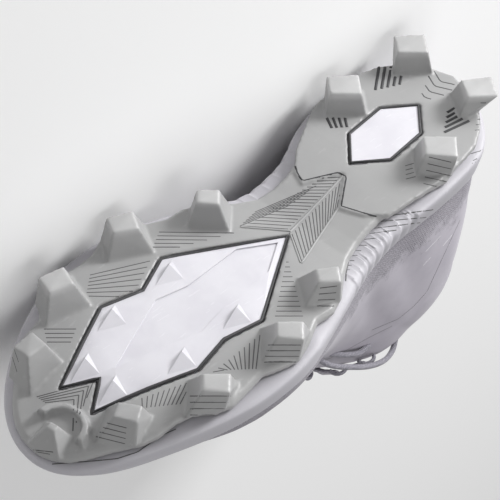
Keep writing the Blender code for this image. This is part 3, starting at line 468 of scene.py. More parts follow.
@dataclass(frozen=True)
class Finishes:
    """Every finish of the shoe."""

    sole: Look
    # The deep and soft finishes are dark rubber that paints the shade in grooves and between ribs
    deep: Look
    soft: Look
    rand: Look
    insert: Look
    knit: Look
    # The seam finish is dark cord that paints the shadow along the upper's seams
    seam: Look
    pale: Look
    tongue: Look
    lining: Look
    lace: Look
    loop: Look

    @classmethod
    def make(cls) -> "Finishes":
        """Build all the finishes."""
        dull = {"rough": 0.6, "coat": 0.0}
        band = {"rough": 0.55, "coat": 0.0}
        knit_hole = (0.055, 0.052, 0.065)
        finishes = {
            "sole": MouldedRubber("sole_rubber_grey", (0.365, 0.365, 0.365), (0.30, 0.30, 0.305)),
            # Dark rubber that paints the shade in grooves and between ribs
            "deep": MouldedRubber("groove_deep", (0.050, 0.050, 0.053), (0.03, 0.03, 0.033), **dull),
            "soft": MouldedRubber("groove_soft", (0.105, 0.105, 0.107), (0.08, 0.08, 0.082), **dull),
            "rand": MouldedRubber("rand_pale", (0.50, 0.49, 0.525), (0.42, 0.41, 0.445), **band),
            "insert": PearlPlastic("insert_white", (0.74, 0.73, 0.775), (0.62, 0.605, 0.66)),
            "knit": KnitSkin("knit_skin", (0.46, 0.435, 0.49), (0.33, 0.31, 0.36), knit_hole),
            # Dark cord that paints the shadow along the upper's seams
            "seam": WovenCord("seam_shadow", (0.20, 0.19, 0.21), (0.13, 0.125, 0.14)),
            "pale": PearlPlastic("pale_thread", (0.82, 0.81, 0.84), (0.74, 0.73, 0.76)),
            "tongue": LiningCloth("tongue_cloth", (0.40, 0.385, 0.43), (0.17, 0.16, 0.19)),
            "lining": LiningCloth("lining_cloth", (0.30, 0.29, 0.32), (0.12, 0.115, 0.13)),
            "lace": WovenCord("lace_weave", (0.44, 0.42, 0.47), (0.22, 0.21, 0.25)),
            "loop": WovenCord("loop_cord", (0.36, 0.345, 0.39), (0.09, 0.09, 0.11), 0.0009),
        }
        return cls(**{part: finish.make() for part, finish in finishes.items()})


# Mesh helpers


def link(name: str, data: bpy.types.ID) -> Piece:
    """Put a new object with its data into the scene."""
    made = bpy.data.objects.new(name, data)
    bpy.context.scene.collection.objects.link(made)
    return made


def modify(obj: Piece, kind: str, **settings: object) -> None:
    """Add a modifier with its settings."""
    made = obj.modifiers.new(kind.lower(), kind)
    for name, value in settings.items():
        setattr(made, name, value)


def add_object(name: str, mesh: Mesh, look: Look) -> Piece:
    """Link a mesh as an object with one material.

    Args:
        name: the piece's name.
        mesh: its mesh.
        look: its material.

    Returns:
        The object.
    """
    made = link(name, mesh)
    mesh.materials.clear()
    mesh.materials.append(look)
    return made


def merged_copy(nodes: Iterable[str], name: str, quads: bool = False) -> Mesh:
    """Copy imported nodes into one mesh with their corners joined.

    Args:
        nodes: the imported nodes.
        name: name of the new mesh.
        quads: whether to pair the triangles into quads.

    Returns:
        The mesh.
    """
    joined = bmesh.new()
    for node in nodes:
        joined.from_mesh(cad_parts[node].data)
    bmesh.ops.remove_doubles(joined, verts=joined.verts, dist=SAME_CORNER)
    if quads:
        bmesh.ops.join_triangles(joined, faces=joined.faces, angle_face_threshold=0.9,
                                 angle_shape_threshold=1.6, cmp_seam=False, cmp_sharp=False,
                                 cmp_uvs=False, cmp_vcols=False, cmp_materials=False)
    mesh = bpy.data.meshes.new(name)
    joined.to_mesh(mesh)
    joined.free()
    return mesh


def bake(obj: Piece) -> Piece:
    """Turn an object's modifiers into its mesh.

    Args:
        obj: the object.

    Returns:
        The same object with a plain mesh.
    """
    bpy.context.view_layer.update()
    seen = obj.evaluated_get(bpy.context.evaluated_depsgraph_get())
    mesh = bpy.data.meshes.new_from_object(seen, preserve_all_data_layers=True,
                                           depsgraph=bpy.context.evaluated_depsgraph_get())
    mesh.name = obj.name
    obj.modifiers.clear()
    obj.data = mesh
    return obj


def refine(obj: Piece) -> Piece:
    """Subdivide a piece twice, rounding it, and keep that as its mesh."""
    modify(obj, "SUBSURF", levels=2, render_levels=2)
    return bake(obj)


def soften(obj: Piece, voxel: float, keep: float, passes: int) -> Piece:
    """Round the edges of a moulded piece.

    Args:
        obj: the piece.
        voxel: size of the finest detail kept.
        keep: share of the faces kept at the end.
        passes: number of smoothing passes.

    Returns:
        The piece with a plain mesh.
    """
    modify(obj, "REMESH", mode="VOXEL", voxel_size=voxel, use_smooth_shade=True)
    modify(obj, "SMOOTH", factor=0.5, iterations=passes)
    modify(obj, "DECIMATE", ratio=keep)
    bake(obj)
    obj.data.shade_smooth()
    return obj


def linked_chains(lines: bmesh.types.BMesh) -> list[list[bmesh.types.BMEdge]]:
    """Group edges that hang together.

    Args:
        lines: a mesh of edges alone.

    Returns:
        The edges of each group.
    """
    chains = []
    seen = set()
    for start in lines.edges:
        if start in seen:
            continue
        chain, waiting = [], [start]
        seen.add(start)
        while waiting:
            edge = waiting.pop()
            chain.append(edge)
            near = [other for vertex in edge.verts for other in vertex.link_edges if other not in seen]
            seen.update(near)
            waiting.extend(set(near))
        chains.append(chain)
    return chains


def path_mesh(name: str, places: Sequence[Vector]) -> Mesh:
    """Make a mesh of one path of edges through some places."""
    mesh = bpy.data.meshes.new(name)
    mesh.from_pydata(places, [(index, index + 1) for index in range(len(places) - 1)], [])
    return mesh


def rest_on_shoe(obj: Piece, slot: str, *nodes: str) -> Piece:
    """Let a finished piece ride with the shoe and stand for its solids."""
    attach(obj, "root")
    if nodes:
        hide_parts(*nodes)
    LOG.info("%s: %d faces", obj.name, len(obj.data.polygons))
    return obj


# Geometry node trees


class NodeTree(NodeBuilder):
    """Short hand for building a geometry node tree with named inputs."""

    def __init__(self, name: str) -> None:
        """Start a tree with one geometry input and output."""
        super().__init__(bpy.data.node_groups.new(name, "GeometryNodeTree"))
        for way in ("INPUT", "OUTPUT"):
            self.tree.interface.new_socket("Geometry", in_out=way, socket_type="NodeSocketGeometry")
        self.source = self.tree.nodes.new("NodeGroupInput")
        self.sink = self.tree.nodes.new("NodeGroupOutput")

    def wants(self, kind: str, *names: str) -> list[Socket]:
        """Add named inputs of a socket kind such as Float or Vector."""
        for name in names:
            self.tree.interface.new_socket(name, in_out="INPUT", socket_type="NodeSocket" + kind)
        return [self.source.outputs[name] for name in names]

    def place(self) -> Socket:
        """Place of each point."""
        return self.node("GeometryNodeInputPosition").outputs[0]

    def vector(self, operation: str, *values: object) -> Socket:
        """Add a Vector Math node and give its vector."""
        made = self.node("ShaderNodeVectorMath", dict(enumerate(values)), operation=operation)
        return made.outputs["Vector"]

    def scaled(self, vector: object, factor: object) -> Socket:
        """Scale a vector by a number."""
        made = self.node("ShaderNodeVectorMath", {0: vector}, operation="SCALE")
        self.feed(made.inputs["Scale"], factor)
        return made.outputs["Vector"]

    def blended(self, first: object, second: object, share: object) -> Socket:
        """Blend two vectors by a share."""
        return self.vector("ADD", first, self.scaled(self.vector("SUBTRACT", second, first), share))


def drop_onto(tree: NodeTree, shape: Socket) -> Socket:
    """Cast points away from the eye onto a carrier and sink them a little.

    The tree gets the inputs Carrier, Eye, Facing (the way that the surface has
    to face), Least (how well it has to face that way, as a cosine) and Sink
    (how far below the surface the points go).

    Args:
        tree: the tree.
        shape: the geometry whose points are cast.

    Returns:
        The geometry on the carrier, without the points that missed it.
    """
    (carrier,) = tree.wants("Object", "Carrier")
    eye, facing = tree.wants("Vector", "Eye", "Facing")
    least, sink = tree.wants("Float", "Least", "Sink")
    target = tree.node("GeometryNodeObjectInfo", {"Object": carrier}, transform_space="RELATIVE")
    place = tree.place()
    way = tree.vector("NORMALIZE", tree.vector("SUBTRACT", place, eye))
    ray = {"Target Geometry": target.outputs["Geometry"], "Source Position": place, "Ray Direction": way,
           "Ray Length": 1.0}
    cast = tree.node("GeometryNodeRaycast", ray)
    normal = cast.outputs["Hit Normal"]
    landed = tree.vector("SUBTRACT", cast.outputs["Hit Position"], tree.scaled(normal, sink))
    turned = tree.node("ShaderNodeVectorMath", {0: normal, 1: facing}, operation="DOT_PRODUCT")
    faces = tree.maths("GREATER_THAN", turned.outputs["Value"], least)
    kept = tree.maths("MULTIPLY", cast.outputs["Is Hit"], faces)
    missed = tree.node("FunctionNodeCompare", {0: kept, 1: 0.5}, data_type="FLOAT", operation="LESS_THAN")
    named = tree.node("GeometryNodeStoreNamedAttribute",
                      {"Geometry": shape, "Name": "missed", "Value": missed.outputs[0]},
                      data_type="BOOLEAN", domain="POINT")
    moved = tree.node("GeometryNodeSetPosition", {"Geometry": named.outputs[0], "Position": landed})
    mark = tree.node("GeometryNodeInputNamedAttribute", {"Name": "missed"}, data_type="BOOLEAN")
    rest = tree.node("GeometryNodeDeleteGeometry", {0: moved.outputs[0], 1: mark.outputs[0]},
                     domain="POINT", mode="ALL")
    return rest.outputs[0]


def add_tube(tree: NodeTree, curves: Socket, sides: int = 6) -> Tree:
    """End a tree with round bars along its curves, of its inputs Radius and Look.

    Args:
        tree: the tree.
        curves: its curves.
        sides: corners of the bars' section.

    Returns:
        The finished geometry node tree.
    """
    (radius,) = tree.wants("Float", "Radius")
    (look,) = tree.wants("Material", "Look")
    ring = tree.node("GeometryNodeCurvePrimitiveCircle", {"Resolution": sides, "Radius": radius})
    section = {"Curve": curves, "Profile Curve": ring.outputs["Curve"], "Fill Caps": True}
    bars = tree.node("GeometryNodeCurveToMesh", section)
    solid = tree.node("GeometryNodeRealizeInstances", {0: bars.outputs[0]})
    dressed = tree.node("GeometryNodeSetMaterial", {"Geometry": solid.outputs[0], "Material": look})
    tree.feed(tree.sink.inputs[0], dressed.outputs[0])
    return tree.tree


def rib_tree() -> Tree:
    """Ribs between two rails, cast onto what carries them.

    Returns:
        The geometry node tree.
    """
    tree = NodeTree("ribs_between_rails")
    corners = tree.wants("Vector", *RAILS)
    (count,) = tree.wants("Int", "Count")
    grid = tree.node("GeometryNodeMeshGrid",
                     {"Size X": 1.0, "Size Y": 1.0, "Vertices X": count, "Vertices Y": RIB_POINTS})
    ends = tree.node("GeometryNodeInputMeshEdgeVertices")
    apart = tree.vector("SUBTRACT", ends.outputs["Position 1"], ends.outputs["Position 2"])
    across = tree.node("ShaderNodeSeparateXYZ", {0: tree.vector("ABSOLUTE", apart)}).outputs[0]
    crossing = tree.node("FunctionNodeCompare", {0: across, 1: CROSSING}, data_type="FLOAT",
                         operation="GREATER_THAN")
    lines = tree.node("GeometryNodeDeleteGeometry", {0: grid.outputs["Mesh"], 1: crossing.outputs[0]},
                      domain="EDGE", mode="EDGE_FACE")
    parts = tree.node("ShaderNodeSeparateXYZ", {0: tree.place()})
    share, run = (tree.maths("ADD", parts.outputs[axis], 0.5) for axis in (0, 1))
    first = tree.blended(corners[0], corners[1], share)
    second = tree.blended(corners[2], corners[3], share)
    spread = {0: lines.outputs[0], "Position": tree.blended(first, second, run)}
    landed = drop_onto(tree, tree.node("GeometryNodeSetPosition", spread).outputs[0])
    return add_tube(tree, tree.node("GeometryNodeMeshToCurve", {0: landed}).outputs[0])


def line_tree() -> Tree:
    """A moulded line that follows a path cast onto what carries it.

    Returns:
        The geometry node tree.
    """
    tree = NodeTree("line_on_surface")
    (step,) = tree.wants("Float", "Step")
    curve = tree.node("GeometryNodeMeshToCurve", {0: tree.source.outputs["Geometry"]})
    even = tree.node("GeometryNodeResampleCurve", {"Curve": curve.outputs[0], "Length": step}, mode="LENGTH")
    return add_tube(tree, drop_onto(tree, even.outputs[0]))


def strand_tree() -> Tree:
    """A round strand along its own path.

    Returns:
        The geometry node tree.
    """
    tree = NodeTree("strand_on_path")
    curve = tree.node("GeometryNodeMeshToCurve", {0: tree.source.outputs["Geometry"]})
    return add_tube(tree, curve.outputs[0], 8)


def run_tree(mesh: Mesh, name: str, tree: Tree, values: dict[str, object]) -> Piece:
    """Run a tree on a mesh and keep its result as a plain mesh.

    Args:
        mesh: the tree's input.
        name: the new piece's name.
        tree: the tree.
        values: its inputs by name.

    Returns:
        The new object.
    """
    made = link(name, mesh)
    change = made.modifiers.new("tree", "NODES")
    change.node_group = tree
    for item in tree.interface.items_tree:
        if item.in_out == "INPUT" and item.name in values:
            change[item.identifier] = values[item.name]
    bake(made)
    made.data.shade_smooth()
    return made


@dataclass
class RibField:
    """Parallel ribs on one patch, between two rails of the picture."""

    name: str
    first: tuple[Plan, Plan]
    second: tuple[Plan, Plan]
    count: int
    radius: float = 0.00042
    # Dark by default, painting the shade in grooves and between ribs
    tone: Tone = Tone.SOFT
    least: float = 0.8
    lay: Lay = Lay.FLUSH


@dataclass
class MouldLine:
    """A line along a path of the picture."""

    name: str
    points: list[Plan]
    radius: float = 0.00036
    # Dark by default, painting the shade of a groove
    tone: Tone = Tone.SOFT
    least: float = 0.8
    lay: Lay = Lay.FLUSH


@dataclass
class Relief:
    """Ribs, grooves and lines that lie on one carrier."""

    space: ShoeSpace
    sight: Sight
    finishes: Finishes
    carrier: Piece
    slot: str
    fields: list[RibField] = field(default_factory=list)
    lines: list[MouldLine] = field(default_factory=list)

    def shared_values(self, item: RibField | MouldLine) -> dict[str, object]:
        """Inputs that both trees take, for one patch or line."""
        return {
            "Carrier": self.carrier, "Eye": self.sight.eye, "Facing": -self.space.up,
            "Least": item.least, "Radius": item.radius, "Sink": item.radius * item.lay.value,
            "Look": getattr(self.finishes, item.tone.value),
        }

    def build(self) -> None:
        """Make every patch and line."""
        tree = rib_tree()
        for item in self.fields:
            corners = [self.sight.before(*corner) for corner in (*item.first, *item.second)]
            values = {**self.shared_values(item), **dict(zip(RAILS, corners)), "Count": item.count}
            rest_on_shoe(run_tree(bpy.data.meshes.new(item.name), item.name, tree, values), self.slot)
        tree = line_tree()
        for item in self.lines:
            mesh = path_mesh(item.name, [self.sight.before(*point) for point in item.points])
            values = {**self.shared_values(item), "Step": LINE_STEP}
            rest_on_shoe(run_tree(mesh, item.name, tree, values), self.slot)


@dataclass
class SolePlate:
    """The moulded plate with its studs, and the inserts let into it."""

    space: ShoeSpace
    finishes: Finishes
    voxel: float = 0.00075
    edge: float = 0.00035
    # Radius of the dark strand that paints the shade in the groove round each insert
    groove: float = 0.00072
    # Depth below the plate where the painted highlight on the stud tips begins, and the depth over which it
    # grows to full
    highlight_from: float = 0.0085
    highlight_over: float = 0.003
    wall_facing: float = 0.35
    face_facing: float = 0.6

    def build_plate(self) -> Piece:
        """Make the plate with softened edges."""
        plate = add_object("sole_plate", merged_copy(["outsole"], "sole_plate"), self.finishes.sole)
        soften(plate, self.voxel, 0.55, 1)
        # The tip attribute carries the share of the painted highlight on the stud tips, from how far each
        # point hangs below the plate
        tip = plate.data.attributes.new("tip", "FLOAT", "POINT")
        for vertex in plate.data.vertices:
            hung = -self.space.local(vertex.co).z
            tip.data[vertex.index].value = smooth_step((hung - self.highlight_from) / self.highlight_over)
        return rest_on_shoe(plate, "sole_rubber", "outsole")

    def build_insert(self, node: str, name: str) -> Piece:
        """Make one insert with a fine bevel.

        Args:
            node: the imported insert.
            name: the piece's name.

        Returns:
            The piece.
        """
        mesh = merged_copy([node], name)
        flat = bmesh.new()
        flat.from_mesh(mesh)
        bmesh.ops.dissolve_limit(flat, angle_limit=math.radians(1.0), verts=flat.verts,
                                 edges=flat.edges)
        flat.to_mesh(mesh)
        flat.free()
        insert = add_object(name, mesh, self.finishes.insert)
        modify(insert, "BEVEL", width=self.edge, segments=2, limit_method="ANGLE",
               angle_limit=math.radians(9.0), harden_normals=False)
        bake(insert)
        insert.data.shade_smooth()
        insert.data.set_sharp_from_angle(angle=math.radians(24.0))
        return rest_on_shoe(insert, "insert_plastic", node)

    def build_outline(self, node: str, name: str) -> Piece:
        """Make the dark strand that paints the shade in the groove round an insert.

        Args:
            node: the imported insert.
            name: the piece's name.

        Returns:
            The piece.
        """
        solid = bmesh.new()
        solid.from_mesh(merged_copy([node], name))
        down = -self.space.up
        rim = []
        for edge in solid.edges:
            turns = sorted(face.normal.dot(down) for face in edge.link_faces)
            if len(turns) == 2 and turns[0] < self.wall_facing and turns[1] > self.face_facing:
                rim.append([vertex.co.copy() for vertex in edge.verts])
        solid.free()
        mesh = bpy.data.meshes.new(name)
        pairs = [(2 * index, 2 * index + 1) for index in range(len(rim))]
        mesh.from_pydata([point for pair in rim for point in pair], pairs, [])
        joined = bmesh.new()
        joined.from_mesh(mesh)
        bmesh.ops.remove_doubles(joined, verts=joined.verts, dist=SAME_RIM_CORNER)
        chains = linked_chains(joined)
        longest = max(chains, key=lambda chain: sum(edge.calc_length() for edge in chain))
        spare = [edge for chain in chains if chain is not longest for edge in chain]
        bmesh.ops.delete(joined, geom=spare, context="EDGES")
        joined.to_mesh(mesh)
        joined.free()
        values = {"Radius": self.groove, "Look": self.finishes.deep}
        return rest_on_shoe(run_tree(mesh, name, strand_tree(), values), "sole_rubber")

    def build(self) -> Piece:
        """Make the plate and both inserts."""
        plate = self.build_plate()
        for node in ("forefoot_insert", "heel_insert"):
            self.build_outline(node, node + "_groove")
        for node in ("forefoot_insert", "heel_insert"):
            self.build_insert(node, node + "_white")
        return plate


@dataclass
class Rand:
    """The midsole with the pale band that wraps the upper's lower edge."""

    space: ShoeSpace
    finishes: Finishes
    start: float = 0.080
    end: float = 0.165
    least_outward: float = 0.1
    passes: int = 45

    def build(self) -> Piece:
        """Make the rand and relax its flank under the fine ribs."""
        mesh = merged_copy(["midsole"], "rand_band", quads=True)
        rand = refine(add_object("rand_band", mesh, self.finishes.rand))
        flank = rand.vertex_groups.new(name="flank")
        for vertex in rand.data.vertices:
            point = self.space.local(vertex.co)
            outward = vertex.normal.dot(self.space.outer)
            inside = point.x > 0.0 and self.start < point.y < self.end
            if inside and outward > self.least_outward:
                flank.add([vertex.index], 1.0, "REPLACE")
        modify(rand, "SMOOTH", factor=0.5, iterations=self.passes, vertex_group=flank.name)
        bake(rand)
        rand.data.shade_smooth()
        return rest_on_shoe(rand, "rand_rubber", "midsole")


@dataclass(frozen=True)
class Crease:
    """A soft trough or ridge pressed into the upper."""

    start: Place
    end: Place
    depth: float
    width: float

    def push(self, point: Vector) -> float:
        """How far a point moves inwards.

        Args:
            point: a point in the shoe's own axes.

        Returns:
            The depth there, in metres.
        """
        a, b = Vector(self.start), Vector(self.end)
        along = b - a
        share = min(max((point - a).dot(along) / along.length_squared, 0.0), 1.0)
        away = (point - (a + along * share)).length / self.width
        fade = math.sin(math.pi * min(max(share, 0.06), 0.94)) ** 0.5
        return self.depth * fade * math.exp(-away * away)


@dataclass
class UpperShell:
    """The knit upper with its collar band, eyestay and creases."""

    space: ShoeSpace
    finishes: Finishes
    rand_line: float = 0.016
    knit_reach: float = 0.055
    heel_round: float = 0.035
    heel_radius: float = 0.036
    mid_height: float = 0.03
    inner_share: float = -0.6
    side_reach: float = 0.045
    cloth_rise: float = 0.92
    creases: list[Crease] = field(default_factory=list)

    def run_round(self, point: Vector) -> float:
        """Length run along the shoe's edge, round the heel.

        Args:
            point: a point in the shoe's own axes.

        Returns:
            The length in metres.
        """
        if point.y < self.heel_round:
            return math.atan2(abs(point.x), self.heel_round - point.y) * self.heel_radius
        return math.pi * 0.5 * self.heel_radius + point.y - self.heel_round

    def dress(self, mesh: Mesh) -> None:
        """Press the creases in and write what the finish reads.

        Args:
            mesh: the upper's mesh.
        """
        mesh.update()
        normals = [vertex.normal.copy() for vertex in mesh.vertices]
        above = mesh.attributes.new("above_rand", "FLOAT", "POINT")
        places = []
        for vertex, normal in zip(mesh.vertices, normals):
            point = self.space.local(vertex.co)
            places.append(point)
            deep = sum(crease.push(point) for crease in self.creases)
            outward = normal.dot(self.space.turn((point.x, 0.0, point.z - self.mid_height))) > 0.0
            vertex.co -= normal * deep * (1.0 if outward else self.inner_share)
            above.data[vertex.index].value = (point.z - self.rand_line) / self.knit_reach
        cloth = mesh.uv_layers.new(name="cloth")
        for loop in mesh.loops:
            point = places[loop.vertex_index]
            over = max(0.0, self.side_reach - abs(point.x)) if point.y > self.heel_round else 0.0
            cloth.data[loop.index].uv = (self.run_round(point), point.z * self.cloth_rise + over)

    def build(self) -> Piece:
        """Make the upper from its solid's own surface."""
        mesh = merged_copy(["upper"], "knit_upper_shell", quads=True)
        upper = refine(add_object("knit_upper_shell", mesh, self.finishes.knit))
        self.dress(upper.data)
        upper.data.shade_smooth()
        return rest_on_shoe(upper, "knit_upper", "upper")


@dataclass
class SoftParts:
    """Tongue, footbed, lace and its loops."""

    space: ShoeSpace
    finishes: Finishes
    carrier: Piece
    strand: float = 0.0014
    strand_sink: float = 0.3

    def smooth_piece(self, nodes: list[str], name: str, look: Look, slot: str) -> Piece:
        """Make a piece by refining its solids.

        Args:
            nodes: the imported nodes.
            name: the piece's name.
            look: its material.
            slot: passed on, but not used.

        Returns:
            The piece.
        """
        piece = refine(add_object(name, merged_copy(nodes, name, quads=True), look))
        piece.data.shade_smooth()
        return rest_on_shoe(piece, slot, *nodes)

    def build(self) -> None:
        """Make the soft pieces."""
        self.smooth_piece(["tongue"], "padded_tongue", self.finishes.tongue, "knit_upper")
        self.smooth_piece(["insole"], "footbed", self.finishes.lining, "lining")
        loops = [f"lace_loop_{side}_{row}" for row in range(1, 7) for side in ("outer", "inner")]
        self.smooth_piece(loops, "lace_loops", self.finishes.loop, "lace_cord")
        lace = add_object("crossed_lace", merged_copy(["lace"], "crossed_lace"), self.finishes.lace)
        soften(lace, 0.00045, 0.6, 2)
        rest_on_shoe(lace, "lace_cord", "lace")
        self.build_strand("lace_outer_strand", [(21, 121, 80), (27, 114, 89), (31, 104, 96), (34, 92, 104),
                                                (35, 80, 110), (33, 70, 113), (30, 64, 110)])
        self.build_strand("lace_upper_strand", [(22, 112, 86), (26, 103, 92), (28.5, 94, 97), (29, 86, 98)])

    def build_strand(self, name: str, path: list[Place]) -> Piece:
        """Make one tight strand that runs between two loops.

        Args:
            name: the piece's name.
            path: its places in millimetres of the shoe.

        Returns:
            The piece.
        """
        ends = [self.space.world(*(value / 1000.0 for value in point)) for point in path]
        for tip in (0, -1):
            found, place, normal, _ = self.carrier.closest_point_on_mesh(ends[tip])
            ends[tip] = place - normal * self.strand * self.strand_sink if found else ends[tip]
        rounded = []
        for index in range(len(ends) - 1):
            before, after = ends[max(index - 1, 0)], ends[min(index + 2, len(ends) - 1)]
            a, b = ends[index], ends[index + 1]
            for part in range(STRAND_PARTS):
                t = part / STRAND_PARTS
                bend = (b - before) * 0.5 * (t ** 3 - 2 * t ** 2 + t) + (after - a) * 0.5 * (t ** 3 - t ** 2)
                rounded.append(a * (2 * t ** 3 - 3 * t ** 2 + 1) + b * (3 * t ** 2 - 2 * t ** 3) + bend)
        rounded.append(ends[-1])
        values = {"Radius": self.strand, "Look": self.finishes.loop}
        return rest_on_shoe(run_tree(path_mesh(name, rounded), name, strand_tree(), values), "lace_cord")


@dataclass
class Studio:
    """Pale floor, soft lights and the camera."""

    sight: Sight
    floor_half: float = 6.0
    room_light: float = 0.28
    aim: Place = (0.0, 0.0, 0.05)

    def build_camera(self) -> None:
        """Place the camera at the photograph's angle to the shoe."""
        data = bpy.data.cameras.new("camera")
        data.lens = self.sight.lens
        data.sensor_width = self.sight.sensor
        data.clip_end = 50.0
        camera = link("camera", data)
        turn = Matrix((self.sight.right, -self.sight.down, -self.sight.ahead)).transposed().to_4x4()
        camera.matrix_world = Matrix.Translation(self.sight.eye) @ turn
        bpy.context.scene.camera = camera
        LOG.info("camera at %s", [round(value, 3) for value in self.sight.eye])

    def build_light(self, name: str, place: Vector, size: float, power: float) -> None:
        """Add one soft square light that faces the shoe.

        Args:
            name: the light's name.
            place: where it hangs.
            size: its edge.
            power: its power in watts.
        """
        data = bpy.data.lights.new(name, "AREA")
        data.size = size
        data.energy = power
        light = link(name, data)
        light.location = place
        light.rotation_mode = "QUATERNION"
        light.rotation_quaternion = (Vector(self.aim) - place).to_track_quat("-Z", "Y")

    def build_floor(self) -> None:
        """Lay the pale floor and light the room."""
        mesh = bpy.data.meshes.new("floor")
        half = self.floor_half
        corners = [(-half, -half, 0.0), (half, -half, 0.0), (half, half, 0.0), (-half, half, 0.0)]
        mesh.from_pydata(corners, [], [(0, 1, 2, 3)])
        graph = Graph("pale_floor")
        speck = graph.noise(graph.place(), 8.0, 2.0)
        colour = graph.tint((0.93, 0.93, 0.93), speck, 0.1, (0.90, 0.90, 0.90))
        look = graph.finish(colour, 0.85, graph.bump(speck, 0.02, 0.0005))
        floor = add_object("floor", mesh, look)
        world = bpy.data.worlds.new("room")
        world.use_nodes = True
        background = world.node_tree.nodes["Background"].inputs
        background[0].default_value = (1.0, 1.0, 1.0, 1.0)
        background[1].default_value = self.room_light
        bpy.context.scene.world = world
        bpy.context.scene.view_settings.view_transform = "Standard"

    def build(self) -> None:
        """Make the stage."""
        self.build_floor()
        self.build_light("key", Vector((0.86, -0.98, 0.34)), 0.45, 19.0)
        self.build_light("top", Vector((0.00, 0.10, 1.5)), 1.2, 9.0)
        self.build_camera()


def sole_fields() -> list[RibField]:
    """Patches of dark bars that paint the shade between the sole's ribs, each by the ends of its two rails in
    the picture.
    """
    # The heel bars are the darkest and paint the shade in the grooves between them; the other patches take
    # the soft dark finish
    bars = {"tone": Tone.DEEP, "radius": 0.0009, "lay": Lay.SET}
    face = {"least": -0.2}
    flat = {}
    rows = (
        ("ribs_heel_back", (379, 67), (403, 66.5), (375.5, 90), (399.6, 84.5), 5, bars),
        ("ribs_heel_inner", (327, 118), (345, 118), (332, 128), (347, 127), 4, bars),
        ("ribs_heel_outer", (447.2, 112.4), (444.3, 132.2), (465, 101.7), (469, 120.8), 5, bars),
        ("ribs_heel_small", (405.3, 165.7), (406, 179), (417.4, 162.3), (415.6, 176.6), 4, flat),
        ("ribs_heel_corner_stud", (480.5, 102.9), (474.8, 130.2), (493.7, 102.9), (493.7, 127.9), 6, face),
        ("ribs_heel_outer_stud", (428.9, 157.1), (423.5, 183.5), (451.2, 162.3), (451.2, 189.3), 5, face),
        ("ribs_ball_inner", (90, 275), (86, 296), (150, 261), (133, 297), 7, flat),
        ("ribs_toe_inner", (44, 329), (47, 342), (76, 329), (71, 342), 4, flat),
        ("ribs_waist_inner", (159, 232), (153, 247), (234, 233), (180, 247), 5, flat),
        ("ribs_waist_back", (255, 212), (240, 226), (316, 186), (290, 205), 6, flat),
        ("ribs_toe_outer", (142, 398), (192, 381), (142.5, 408), (180, 404), 10, flat),
        ("ribs_ball_outer", (213, 372), (260, 335), (224, 370), (256, 369), 10, flat),
        ("ribs_waist_triangle", (286, 262), (275, 316), (288.5, 262), (303, 316), 12, flat),
        ("ribs_leaf_inner", (243, 226), (322, 178), (288, 229), (341, 177), 17, flat),
        ("ribs_leaf_outer", (292, 234), (343, 180), (302, 262), (337, 208), 16, flat),
        ("chevron_toe_inner", (36.7, 396.8), (44.9, 402.7), (93.4, 381.5), (74, 399.4), 5, flat),
        ("chevron_toe_outer", (93.4, 381.5), (74, 399.4), (86.7, 397.9), (72.7, 431), 5, flat),
        ("ribs_outer_toe_stud", (107, 423), (96, 436.6), (126.5, 428), (125, 443.8), 4, face),
        ("ribs_outer_forefoot_stud", (190, 396), (190, 415), (231, 396), (222, 415), 4, face),
        ("ribs_outer_ball_stud", (268, 345), (264, 362), (301, 345), (298, 362), 4, face),
        ("ribs_outer_waist_stud", (320, 288), (317, 306), (337, 286), (334, 306), 4, face),
    )
    return [RibField(name, (a, b), (c, d), count, **style) for name, a, b, c, d, count, style in rows]


def sole_lines() -> list[MouldLine]:
    """Lines of the sole, along paths of the picture: the dark ones paint the shade of its moulded grooves,
    the leaf lines stand raised in the sole's own colour.
    """
    heel = [
        [(432.5, 68.2), (440.3, 81.4), (461, 86)],
        [(428.6, 76.2), (434.6, 86), (452.4, 90.2)],
        [(425.4, 85.4), (429.8, 91.7), (443.8, 95.2)],
        [(422, 93.4), (424.8, 97.5), (431.1, 99)],
    ]
    lines = [MouldLine(f"chevron_heel_{index}", path, 0.0006) for index, path in enumerate(heel, 1)]
    leaf = (Tone.SOLE, 0.5, Lay.RAISED)
    mark = (Tone.SOFT, -0.5)
    lines += [
        MouldLine("line_heel_front", [(294, 160), (297, 172), (302.3, 180.7), (338.3, 172.2), (346.5, 176.5),
                                      (341.3, 205.9), (361.2, 212), (376.5, 216.6)], 0.00062, Tone.DEEP, 0.3),
        MouldLine("line_leaf_spine", [(290, 232), (316, 205), (343, 176)], 0.0007, *leaf),
        MouldLine("line_leaf_inner", [(241, 227), (290, 231)], 0.0006, *leaf),
        MouldLine("line_leaf_outer", [(290, 233), (301, 264), (338, 208)], 0.0005, *leaf),
        MouldLine("line_toe_mark", [(29.6, 449.5), (53, 452)], 0.0004, *mark),
        MouldLine("line_toe_mark_low", [(36, 451.8), (50, 454.2)], 0.0003, *mark),
        MouldLine("line_toe_side_a", [(13, 346), (18.5, 362)], 0.0003, *mark),
        MouldLine("line_toe_side_b", [(10.5, 351), (17, 372)], 0.0003, *mark),
    ]
    return lines


